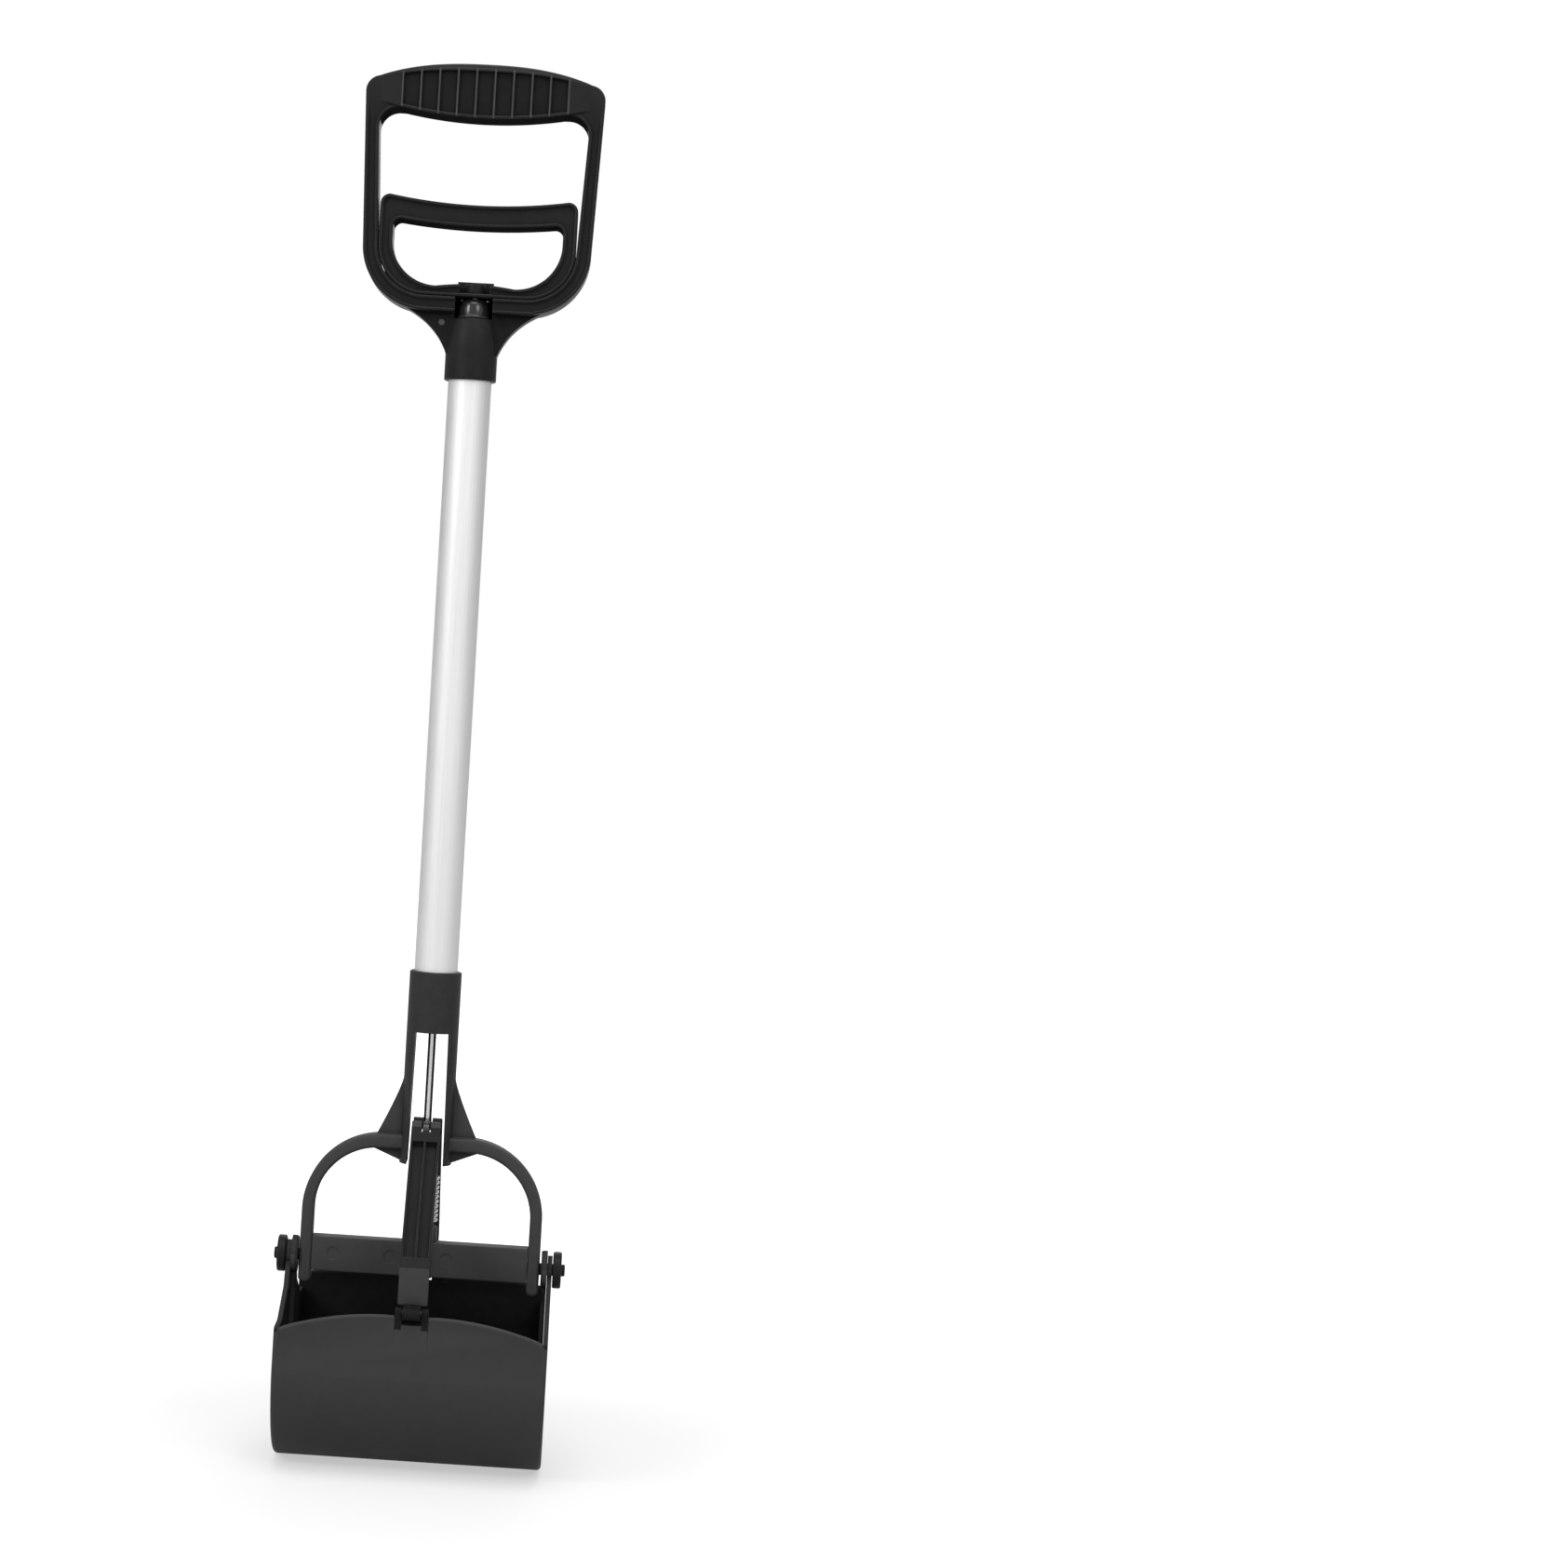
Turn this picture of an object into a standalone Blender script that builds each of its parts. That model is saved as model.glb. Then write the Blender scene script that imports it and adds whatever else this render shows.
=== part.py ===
"""Pooper scooper: two spring-closed jaws on a long tube, opened by a trigger in a D handle.

Run with: blender --background --python part.py
Metres, +Z up along the tube, +X to the scooper's right, front jaw towards -Y.
The closed jaws' lowest point is at Z = 0, and the tube's axis is X = Y = 0.
"""
import math

import bmesh
import bpy
import numpy as np
from mathutils import Matrix, Vector

# Clearances, and how far each cutter runs past what it cuts
gap = 0.0003
running_gap = 0.00035
overrun = 0.0040

# Heights that stack the scooper up, each from the one before
jaw_radius = 0.0600
curve_below_pivot = 0.0400
window_top_above_pivot = 0.1168
lower_socket_length = 0.0306
tube_free_length = 0.2992
upper_socket_length = 0.0312

# Tube, rod and the two sockets
tube_radius = 0.0110
tube_wall = 0.0012
rod_radius = 0.0020
socket_wall = 0.0019
socket_rim_round = 0.0008
socket_floor = 0.0040

# Jaws
jaw_wall = 0.0024
jaw_flat_inset = 0.0005
jaw_side_gap = 0.0004
jaw_arm_gap = 0.0005
jaw_parting_gap = 0.00015
jaw_lap = 0.0060
jaw_edge_round = 0.0022
jaw_top_below_pivot = 0.0170
jaw_top_flat = 0.0120
jaw_top_bend = 0.0330
jaw_shoulder_inset = 0.0134
jaw_shoulder_drop = 0.0044
jaw_corner_inset = 0.0054
jaw_corner_bend_drop = 0.0061
jaw_corner_drop = 0.0098
rear_top_flat = 0.0400
rear_top_bend = 0.0530
rear_top_drop = 0.0024
plate_top_start = 0.0095
plate_top_bend = 0.0170
plate_top_bend_drop = 0.0168
plate_top_reach = 0.0390
plate_top_drop = 0.0264
plate_corner_drop = 0.0270
ear_foot_drop = 0.0170
ear_foot_reach = 0.0130
ear_bend_reach = 0.0090
ear_bend_drop = 0.0090
front_ear_radius = 0.0070
rear_ear_radius = 0.0094
rear_boss_height = 0.0007

# Pivots of the jaws
pivot_pin_radius = 0.0030
pivot_pin_seat = 0.0085
pivot_pin_proud = 0.0018
pivot_pin_round = 0.0007
pivot_cap_radius = 0.0092
pivot_cap_thickness = 0.0044
pivot_cap_round = 0.0010

# Fork: a socket, two legs beside a window, and over each side an arch down to an arm
fork_foot_above_pivot = 0.0500
fork_window_side_gap = 0.0019
fork_window_taper = 0.0009
arm_inner_half = 0.0547
arm_width = 0.0062
arm_depth = 0.0110
arm_round = 0.0016
arm_tip_drop = 0.0135
arch_inner_radius = 0.0320
arch_inner_above_pivot = 0.0247
arch_thickening = 0.0080
arch_centre_step = 0.0007
gusset_thickness = 0.0036
gusset_top_above_pivot = 0.0950
gusset_bend_above_pivot = 0.0883
gusset_top_reach = 0.0268
gusset_foot_start = 0.0105
gusset_foot_reach = 0.0280

# Crossbar between the two arms, with the hub under the spring
crossbar_above_pivot = 0.0104
crossbar_below_pivot = 0.0069
crossbar_depth = 0.0100
crossbar_round = 0.0014
hub_radius = 0.00815
hub_top_above_pivot = 0.0183
hub_round = 0.0008

# Closing spring
spring_wire_radius = 0.0006
spring_coil_radius = 0.0074
spring_pitch = 0.00237
spring_bend_radius = 0.0016
spring_leg_length = 0.0060
spring_bore_radius = 0.0012
spring_bore_spare = 0.0010

# Eye plate at the rod's foot, and the pins that the links hang on
link_pin_above_pivot = 0.0665
link_pin_offset = 0.0080
link_pin_radius = 0.0017
link_pin_recess = 0.0001
eye_plate_thickness = 0.0034
eye_plate_half_length = 0.0122
eye_plate_below_pin = 0.0060
eye_plate_above_pin = 0.0052
eye_plate_corner = 0.0036

# Links from the eye plate to the jaws
link_half_width = 0.00732
link_knuckle_radius = 0.0055
link_thickness = 0.0050
link_aim_below_pivot = 0.0028
link_foot_proud = 0.0008
link_lug_gap = 0.0007
link_notch_half = 0.0023
link_notch_reach = 0.0142
link_notch_drop = 0.0080
link_barrel_half_width = 0.0043
link_barrel_wall = 0.0011
link_neck_inset = 0.0012
link_rib = 0.0013
link_channel_depth = 0.0022
link_channel_start = 0.0105
link_channel_end = 0.0015
link_round = 0.0005

# Hinges of the links on the jaws: each pin runs in a short slot in the link's foot
hinge_inset = 0.0020
hinge_below_pivot = 0.0155
hinge_pin_radius = 0.0014
hinge_slot_half = 0.00195
hinge_slot_travel = 0.0034
hinge_lug_radius = 0.0031
hinge_side_gap = 0.0006
hinge_lug_width = 0.0033
hinge_notch_step = 0.0002
hinge_notch_drop = 0.0058
hinge_notch_back_drop = 0.0040
hinge_pad_foot_drop = 0.0255
hinge_pad_proud = 0.0009

# Handle frame: a D with a crowned grip along its top
frame_foot_half = 0.0577
frame_flare = 0.0028
frame_bar = 0.0075
frame_depth = 0.0190
frame_round = 0.0017
frame_foot_rise = 0.0030
frame_foot_radius = 0.0322
frame_corner_round = 0.0080
frame_throat_round = 0.0100
frame_throat_climb = 0.0045
grip_height = 0.0295
grip_top_fall = 0.0085
grip_underside_rise = 0.0999
grip_underside_climb = 0.0078
grip_end_inset = 0.0045
grip_depth = 0.0262
grip_end_depth = 0.0196
grip_core_inset = 0.0040
grip_rib_pitch = 0.00932
grip_rib_width = 0.0020
grip_rib_crest = 0.0008
grip_rib_proud = 0.0005
frame_pocket_gap = 0.0009
neck_wall = 0.0018
neck_drop = 0.0080
lip_rise = 0.0026
web_thickness = 0.0105
web_start_half = 0.0129
web_start_drop = 0.0183
web_bend_half = 0.0189
web_bend_drop = 0.0021
web_reach = 0.0370

# Trigger: a smaller D that nests in the frame
trigger_side_gap = 0.0006
trigger_bar = 0.0066
trigger_foot_bar = 0.0045
trigger_hollow_radius = 0.0231
trigger_foot_crown = 0.0016
trigger_crown_reach = 0.0180
trigger_depth = 0.0180
trigger_round = 0.0019
trigger_pull_bar = 0.0106
trigger_top_climb = 0.0038
trigger_underside_rise = 0.0460
trigger_underside_climb = 0.0024
trigger_corner_round = 0.0045
trigger_throat_round = 0.0040
trigger_floor = 0.0015
trigger_pocket_half = 0.0076
trigger_back_wall = 0.0028

# Ferrule on the rod's top, and the domed guide below it
ferrule_radius = 0.0053
ferrule_height = 0.0050
ferrule_round = 0.0005
guide_flange_radius = 0.0087
guide_flange_height = 0.0016
guide_dome_radius = 0.0080
guide_crown_radius = 0.0050
guide_below_trigger = 0.0011
guide_spigot_radius = 0.0040
guide_spigot_length = 0.0050
handle_floor = 0.0066

# Rivets at the back that hold the tube in its sockets
rivet_radius = 0.0016
rivet_head_radius = 0.0032
rivet_head_height = 0.0012
rivet_tail_radius = 0.0024
rivet_tail_length = 0.0015
rivet_inset = 0.0130

# Counts, shares and angles
grip_rib_count = 10
grip_section_power = 2.6
grip_crown_power = 2.5
grip_section_points = 20
round_steps = 40
small_steps = 20
arc_steps = 10
spring_turns = 11
spring_points_per_turn = 9
spring_bevel_resolution = 1
ear_start_angle = -25
ear_end_angle = 250
dome_share = 0.45
sharp_angle = math.radians(38.0)
bevel_angle = math.radians(50.0)

# Places worked out from the sizes above
jaw_flat_reach = jaw_radius - jaw_flat_inset
pivot_z = jaw_radius + curve_below_pivot
curve_z = jaw_radius
window_top_z = pivot_z + window_top_above_pivot
lower_rim_z = window_top_z + lower_socket_length
upper_rim_z = lower_rim_z + tube_free_length
shoulder_z = upper_rim_z + upper_socket_length
tube_foot_z = window_top_z + socket_floor + gap
tube_top_z = shoulder_z - handle_floor
hinge_z = pivot_z - hinge_below_pivot
hinge_reach = jaw_flat_reach - hinge_inset
link_foot_front = hinge_reach + link_foot_proud
link_foot_above_hinge = hinge_lug_radius + link_lug_gap
link_pin_half_length = link_half_width - link_pin_recess
hinge_lug_inner = link_barrel_half_width + hinge_side_gap
hinge_lug_outer = hinge_lug_inner + hinge_lug_width
hinge_notch_half = hinge_lug_inner - hinge_notch_step
link_pin_z = pivot_z + link_pin_above_pivot
eye_plate_foot_z = link_pin_z - eye_plate_below_pin
eye_plate_top_z = link_pin_z + eye_plate_above_pin
hub_top_z = pivot_z + hub_top_above_pivot
jaw_top_z = pivot_z - jaw_top_below_pivot
bore_radius = tube_radius + gap
socket_radius = bore_radius + socket_wall
fork_window_foot_half = link_half_width + fork_window_side_gap
fork_window_top_half = fork_window_foot_half - fork_window_taper
arch_outer_radius = arch_inner_radius + arch_thickening
arch_outer_above_pivot = arch_inner_above_pivot - arch_centre_step
arm_outer_half = arm_inner_half + arm_width
rear_half_width = arm_outer_half + jaw_arm_gap + rear_boss_height + jaw_wall
jaw_half_width = rear_half_width + jaw_side_gap + jaw_wall
frame_top_half = frame_foot_half + frame_flare
grip_half_length = frame_top_half - grip_end_inset
grip_top_rise = grip_underside_rise + grip_height
frame_pocket_radius = guide_flange_radius + frame_pocket_gap
neck_radius = frame_pocket_radius + neck_wall
foot_centre_x = frame_foot_half - frame_foot_radius
foot_centre_z = shoulder_z + frame_foot_rise + frame_foot_radius
trigger_foot_radius = frame_foot_radius - frame_bar - trigger_side_gap
trigger_half = foot_centre_x + trigger_foot_radius
trigger_foot_z = foot_centre_z - trigger_foot_radius
trigger_top_rise = trigger_underside_rise + trigger_pull_bar
guide_height = trigger_foot_z - shoulder_z - guide_below_trigger
ferrule_foot_z = trigger_foot_z + trigger_floor + gap
ferrule_top_z = ferrule_foot_z + ferrule_height


def material(name, colour, roughness, metallic):
    """A plain Principled material."""
    made = bpy.data.materials.new(name)
    made.use_nodes = True
    shader = made.node_tree.nodes["Principled BSDF"]
    shader.inputs["Base Color"].default_value = (*colour, 1.0)
    shader.inputs["Roughness"].default_value = roughness
    shader.inputs["Metallic"].default_value = metallic
    return made


def add_object(name, bm, finish=None):
    """Turn a bmesh into a named object whose faces point out."""
    bmesh.ops.recalc_face_normals(bm, faces=bm.faces)
    mesh = bpy.data.meshes.new(name)
    bm.to_mesh(mesh)
    bm.free()
    mesh.shade_smooth()
    mesh.set_sharp_from_angle(angle=sharp_angle)
    if finish is not None:
        mesh.materials.append(finish)
    made = bpy.data.objects.new(name, mesh)
    bpy.context.collection.objects.link(made)
    return made


def boolean(piece, other, operation):
    """Add an exact Boolean with a guide body that stays hidden."""
    other.hide_render = True
    other.display_type = "WIRE"
    step = piece.modifiers.new(other.name, "BOOLEAN")
    step.operation = operation
    step.solver = "EXACT"
    step.object = other


def cut(piece, *others):
    """Subtract each guide body."""
    for other in others:
        boolean(piece, other, "DIFFERENCE")


def join(piece, *others):
    """Fuse each guide body on."""
    for other in others:
        boolean(piece, other, "UNION")


def round_edges(piece, width, segments=2):
    """Round the sharp edges that a piece has at this point of its modifiers."""
    step = piece.modifiers.new("round", "BEVEL")
    step.width = width
    step.segments = segments
    step.limit_method = "ANGLE"
    step.angle_limit = bevel_angle


def arc(centre, radius, start, end, steps=arc_steps):
    """Points of an arc between two angles in degrees, both ends included."""
    angles = np.radians(np.linspace(start, end, steps + 1))
    return [(centre[0] + radius * math.cos(a), centre[1] + radius * math.sin(a)) for a in angles]


def curve(start, handle, end, steps=arc_steps):
    """Points of a quadratic curve from start to end, pulled towards its handle."""
    p, q, r = (np.array(point) for point in (start, handle, end))
    return [tuple((1 - t) ** 2 * p + 2 * t * (1 - t) * q + t ** 2 * r) for t in np.linspace(0, 1, steps + 1)]


def mirrored(right):
    """An outline's right half, followed by its left half."""
    return right + [(-u, v) for u, v in reversed(right) if u > 0]


def prism(name, outline, low, high, axis="Y", finish=None):
    """Extrude an outline along Y from (x, z) points, or along X from (y, z) points."""
    bm = bmesh.new()
    place = {"Y": lambda u, v, w: (u, w, v), "X": lambda u, v, w: (w, u, v)}[axis]
    face = bm.faces.new([bm.verts.new(place(u, v, low)) for u, v in outline])
    moved = bmesh.ops.extrude_face_region(bm, geom=[face])
    top = [item for item in moved["geom"] if isinstance(item, bmesh.types.BMVert)]
    bmesh.ops.translate(bm, verts=top, vec=Vector(place(0, 0, high - low)))
    return add_object(name, bm, finish)


def block(name, low, high, finish=None):
    """A box between two corners."""
    outline = [(low[0], low[2]), (high[0], low[2]), (high[0], high[2]), (low[0], high[2])]
    return prism(name, outline, low[1], high[1], "Y", finish)


def turned(name, profile, centre=(0, 0, 0), axis="Z", steps=round_steps, finish=None):
    """Spin a (radius, height) profile round an axis and close it with a flat face at each end."""
    bm = bmesh.new()
    place = {"X": lambda a, b, h: (h, a, b), "Y": lambda a, b, h: (a, h, b), "Z": lambda a, b, h: (a, b, h)}
    rings = []
    for radius, height in profile:
        ring = []
        for step in range(steps):
            angle = 2 * math.pi * (step + 0.5) / steps
            point = place[axis](radius * math.cos(angle), radius * math.sin(angle), height)
            ring.append(bm.verts.new(Vector(point) + Vector(centre)))
        rings.append(ring)
    for here, there in zip(rings, rings[1:]):
        for step in range(steps):
            after = (step + 1) % steps
            bm.faces.new((here[step], here[after], there[after], there[step]))
    bm.faces.new(rings[0])
    bm.faces.new(rings[-1])
    return add_object(name, bm, finish)


def bar(name, radius, low, high, centre=(0, 0, 0), axis="Z", steps=small_steps, edge=0, finish=None):
    """A solid round bar, with chamfered ends where an edge is given."""
    profile = [(radius, low), (radius, high)]
    if edge:
        profile = [(radius - edge, low), (radius, low + edge), (radius, high - edge), (radius - edge, high)]
    return turned(name, profile, centre, axis, steps, finish)


def facing(side, points):
    """Turn (outward, z) points into (y, z) points on the front or the rear side."""
    return [(side * reach, z) for reach, z in points]


def make_grip():
    """The crowned grip, one loft with narrow raised ribs across it."""
    first = -(grip_rib_count - 1) / 2 * grip_rib_pitch
    stations = [(-grip_half_length, 0)]
    for number in range(grip_rib_count):
        x = first + number * grip_rib_pitch
        stations += [(x - grip_rib_width / 2, 0), (x - grip_rib_crest / 2, grip_rib_proud)]
        stations += [(x + grip_rib_crest / 2, grip_rib_proud), (x + grip_rib_width / 2, 0)]
    stations.append((grip_half_length, 0))
    bm = bmesh.new()
    rings = []
    power = 2 / grip_section_power
    for x, proud in stations:
        share = (x / grip_half_length) ** 2
        low = shoulder_z + grip_underside_rise + grip_underside_climb * share
        high = shoulder_z + grip_top_rise - grip_top_fall * share ** (grip_crown_power / 2)
        half_depth = (grip_depth + (grip_end_depth - grip_depth) * share) / 2 + proud
        half_height = (high - low) / 2 + proud
        ring = []
        for step in range(grip_section_points):
            angle = 2 * math.pi * (step + 0.5) / grip_section_points
            c, s = math.cos(angle), math.sin(angle)
            y = half_depth * math.copysign(abs(c) ** power, c)
            z = (high + low) / 2 + half_height * math.copysign(abs(s) ** power, s)
            ring.append(bm.verts.new((x, y, z)))
        rings.append(ring)
    for here, there in zip(rings, rings[1:]):
        for step in range(grip_section_points):
            after = (step + 1) % grip_section_points
            bm.faces.new((here[step], here[after], there[after], there[step]))
    bm.faces.new(rings[0])
    bm.faces.new(rings[-1])
    return add_object("grip_body", bm)


def make_handle_frame(finish):
    """The D frame with its grip, its socket and the webs beside the socket."""
    foot_z = shoulder_z + frame_foot_rise
    corner_top = shoulder_z + grip_top_rise - grip_top_fall
    corner = (frame_top_half - frame_corner_round, corner_top - frame_corner_round)
    right = [(0, foot_z)] + arc((foot_centre_x, foot_centre_z), frame_foot_radius, -90, 0)
    right += arc(corner, frame_corner_round, 0, 80, 6)
    right += [(0, shoulder_z + grip_top_rise - grip_core_inset)]
    frame = prism("handle_frame", mirrored(right), -frame_depth / 2, frame_depth / 2, "Y", finish)

    throat_z = shoulder_z + grip_underside_rise + frame_throat_climb
    throat = (frame_top_half - frame_bar - frame_throat_round, throat_z - frame_throat_round)
    inner_radius = frame_foot_radius - frame_bar
    inside = [(0, foot_centre_z - inner_radius)]
    inside += arc((foot_centre_x, foot_centre_z), inner_radius, -90, 0)
    inside += arc(throat, frame_throat_round, 0, 90, 6)
    inside += [(0, shoulder_z + grip_underside_rise + grip_core_inset)]
    cut(frame, prism("frame_opening", mirrored(inside), -frame_depth, frame_depth))
    round_edges(frame, frame_round)
    join(frame, make_grip())

    rim = (socket_radius - socket_rim_round, upper_rim_z + socket_rim_round)
    profile = arc(rim, socket_rim_round, -90, 0, 3)
    profile += [(socket_radius, shoulder_z - neck_drop), (neck_radius, shoulder_z - socket_rim_round)]
    profile += [(neck_radius, foot_z + frame_bar - gap)]
    join(frame, turned("frame_socket", profile))

    along = web_reach - foot_centre_x
    web_top = foot_centre_z - math.sqrt(frame_foot_radius ** 2 - along ** 2) + gap
    web = [(0, web_top), (web_reach, web_top)]
    web += curve((web_reach, web_top), (web_bend_half, shoulder_z - web_bend_drop),
                 (web_start_half, shoulder_z - web_start_drop))[1:]
    web += [(0, shoulder_z - web_start_drop)]
    join(frame, prism("frame_web", mirrored(web), -web_thickness / 2, web_thickness / 2))

    lip_top = foot_z + frame_bar + lip_rise
    lip = turned("frame_lip", [(neck_radius - running_gap, foot_z + gap), (neck_radius - running_gap, lip_top)])
    cut(lip, block("frame_lip_front", (-frame_depth, -frame_depth, 0), (frame_depth, trigger_depth / 2 + gap, 2 * lip_top)))
    join(frame, lip)
    pocket_top = lip_top + overrun
    cut(frame, bar("frame_pocket", frame_pocket_radius, shoulder_z, pocket_top, steps=round_steps))
    cut(frame, block("frame_pocket_front", (-frame_pocket_radius, -frame_depth, shoulder_z),
                     (frame_pocket_radius, 0, pocket_top)))
    cut(frame, bar("frame_bore", bore_radius, upper_rim_z - overrun, tube_top_z + gap, steps=round_steps))
    cut(frame, bar("frame_guide_hole", guide_spigot_radius + gap, tube_top_z - overrun,
                   shoulder_z + overrun))
    cut(frame, bar("frame_rivet_hole", rivet_radius + gap, 0, socket_radius + overrun,
                   (0, 0, upper_rim_z + rivet_inset), "Y"))
    return frame


def make_trigger(finish):
    """The pull bar, its two sides and the foot bar with the ferrule's pocket."""
    top = shoulder_z + trigger_top_rise
    shoulder = top + trigger_top_climb
    corner = (trigger_half - trigger_corner_round, shoulder - trigger_corner_round)
    right = [(0, trigger_foot_z)] + arc((foot_centre_x, foot_centre_z), trigger_foot_radius, -90, 0)
    right += arc(corner, trigger_corner_round, 0, 90, 6)
    right += curve((corner[0], shoulder), (corner[0] / 2, top), (0, top))[1:]
    trigger = prism("trigger", mirrored(right), -trigger_depth / 2, trigger_depth / 2, "Y", finish)

    under = shoulder_z + trigger_underside_rise
    throat_z = under + trigger_underside_climb
    inner_half = trigger_half - trigger_bar
    hollow_z = trigger_foot_z + trigger_foot_bar + trigger_hollow_radius
    throat = (inner_half - trigger_throat_round, throat_z - trigger_throat_round)
    hollow = arc((inner_half - trigger_hollow_radius, hollow_z), trigger_hollow_radius, -90, 0)
    crown_z = hollow[0][1] + trigger_foot_crown
    inside = curve((0, crown_z), (trigger_crown_reach / 2, crown_z), hollow[0], 5) + hollow[1:]
    inside += arc(throat, trigger_throat_round, 0, 90, 4)
    inside += curve((throat[0], throat_z), (throat[0] / 2, under), (0, under))[1:]
    cut(trigger, prism("trigger_opening", mirrored(inside), -trigger_depth, trigger_depth))
    round_edges(trigger, trigger_round)
    half = trigger_depth / 2
    join(trigger, block("trigger_lip", (-trigger_pocket_half - trigger_floor, half - trigger_back_wall, crown_z - trigger_floor),
                        (trigger_pocket_half + trigger_floor, half, crown_z + lip_rise)))

    pocket_top = crown_z + lip_rise + overrun
    cut(trigger, block("trigger_pocket", (-trigger_pocket_half, -trigger_depth, trigger_foot_z + trigger_floor),
                       (trigger_pocket_half, trigger_depth / 2 - trigger_back_wall, pocket_top)))
    cut(trigger, bar("trigger_rod_hole", rod_radius + running_gap, trigger_foot_z - overrun, pocket_top))
    return trigger


def make_fork(finish):
    """Socket and legs from one round bar, then the arches, arms and gussets."""
    rim = (socket_radius - socket_rim_round, lower_rim_z - socket_rim_round)
    foot_z = pivot_z + fork_foot_above_pivot
    fork = turned("fork", [(socket_radius, foot_z)] + arc(rim, socket_rim_round, 0, 90, 3), finish=finish)
    window = [(-fork_window_foot_half, foot_z - overrun), (fork_window_foot_half, foot_z - overrun),
              (fork_window_foot_half, foot_z), (fork_window_top_half, window_top_z),
              (-fork_window_top_half, window_top_z), (-fork_window_foot_half, foot_z)]
    inner_z = pivot_z + arch_inner_above_pivot
    outer_z = pivot_z + arch_outer_above_pivot
    inner_top = inner_z + arch_inner_radius
    outer_top = outer_z + arch_outer_radius
    tip_round = arm_width / 2 - gap
    tip_z = pivot_z - arm_tip_drop + tip_round
    outline = [(fork_window_foot_half, inner_top)]
    outline += arc((arm_inner_half - arch_inner_radius, inner_z), arch_inner_radius, 90, 0, 16)
    outline += arc((arm_inner_half + tip_round, tip_z), tip_round, 180, 270, 4)
    outline += arc((arm_outer_half - tip_round, tip_z), tip_round, 270, 360, 4)
    outline += arc((arm_outer_half - arch_outer_radius, outer_z), arch_outer_radius, 0, 90, 16)
    outline += [(fork_window_foot_half, outer_top)]
    band_middle = (inner_top + outer_top) / 2
    gusset = [(fork_window_foot_half, foot_z), (gusset_foot_start, foot_z)]
    gusset += [(gusset_foot_reach, inner_top + gap), (gusset_foot_reach, band_middle)]
    gusset += curve((gusset_top_reach, band_middle), (socket_radius, pivot_z + gusset_bend_above_pivot),
                    (socket_radius - running_gap, pivot_z + gusset_top_above_pivot))
    gusset += [(fork_window_foot_half, pivot_z + gusset_top_above_pivot)]
    for name, side in (("right", 1), ("left", -1)):
        arm = prism(f"fork_{name}_arm", [(side * x, z) for x, z in outline], -arm_depth / 2, arm_depth / 2)
        round_edges(arm, arm_round)
        rib = prism(f"fork_{name}_gusset", [(side * x, z) for x, z in gusset],
                    -gusset_thickness / 2, gusset_thickness / 2)
        join(fork, arm, rib)
    cut(fork, prism("fork_window", window, -socket_radius - overrun, socket_radius + overrun))
    cut(fork, bar("fork_bore", bore_radius, tube_foot_z - gap, lower_rim_z + overrun, steps=round_steps))
    cut(fork, bar("fork_rod_hole", rod_radius + running_gap, window_top_z - overrun, lower_rim_z))
    cut(fork, bar("fork_rivet_hole", rivet_radius + gap, 0, socket_radius + overrun,
                  (0, 0, lower_rim_z - rivet_inset), "Y"))
    side = arm_outer_half + overrun
    cut(fork, bar("fork_pivot_hole", pivot_pin_radius + gap, -side, side, (0, 0, pivot_z), "X"))
    return fork


def make_crossbar(finish):
    """The bar between the arms, with the spring's hub and the pins' seats."""
    end = arm_inner_half - gap
    crossbar = block("crossbar", (-end, -crossbar_depth / 2, pivot_z - crossbar_below_pivot),
                     (end, crossbar_depth / 2, pivot_z + crossbar_above_pivot), finish)
    round_edges(crossbar, crossbar_round)
    profile = [(hub_radius - hub_round, pivot_z - crossbar_below_pivot)]
    profile += [(hub_radius, pivot_z - crossbar_below_pivot + hub_round)]
    profile += arc((hub_radius - hub_round, hub_top_z - hub_round), hub_round, 0, 90, 3)
    join(crossbar, turned("crossbar_hub", profile))
    bore_foot = hub_top_z - spring_leg_length - spring_bore_spare
    cut(crossbar, bar("crossbar_spring_bore", spring_bore_radius, bore_foot, hub_top_z + overrun))
    seat = arm_inner_half - pivot_pin_seat - gap
    for name, side in (("right", 1), ("left", -1)):
        ends = sorted((side * seat, side * (arm_inner_half + overrun)))
        cut(crossbar, bar(f"crossbar_{name}_seat", pivot_pin_radius + gap, *ends, (0, 0, pivot_z), "X"))
    return crossbar


def spring_path():
    """Points of the spring from its lower leg to its upper leg, and its least gap to itself."""
    low = hub_top_z + gap + spring_wire_radius
    high = low + spring_turns * spring_pitch
    middle = (low + high) / 2
    bend = arc((spring_bend_radius, low - spring_bend_radius), spring_bend_radius, 180, 90, 4)
    half = [(0, 0, hub_top_z - spring_leg_length), (0, 0, low - spring_bend_radius - spring_wire_radius)]
    half += [(reach, 0, z) for reach, z in bend]
    count = int(spring_turns / 2 * spring_points_per_turn)
    for step in range(1, count + 1):
        turn = step / spring_points_per_turn
        share = min(1, 2 * turn)
        eased = share * share * (3 - 2 * share)
        reach = spring_bend_radius + (spring_coil_radius - spring_bend_radius) * eased
        angle = 2 * math.pi * turn
        half.append((reach * math.cos(angle), reach * math.sin(angle), low + spring_pitch * turn))
    last = half[-1]
    tilt = math.atan2(last[1], last[0])
    meet = tilt + math.pi * (spring_turns - 2 * count / spring_points_per_turn)
    other = []
    for x, y, z in half:
        reach = math.hypot(x, y)
        angle = 2 * meet - math.atan2(y, x)
        other.append((reach * math.cos(angle), reach * math.sin(angle), 2 * middle - z))
    leg_end = eye_plate_foot_z - gap
    other[0] = (0, 0, leg_end)
    return [Vector(point) for point in half + other[::-1]]


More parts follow.
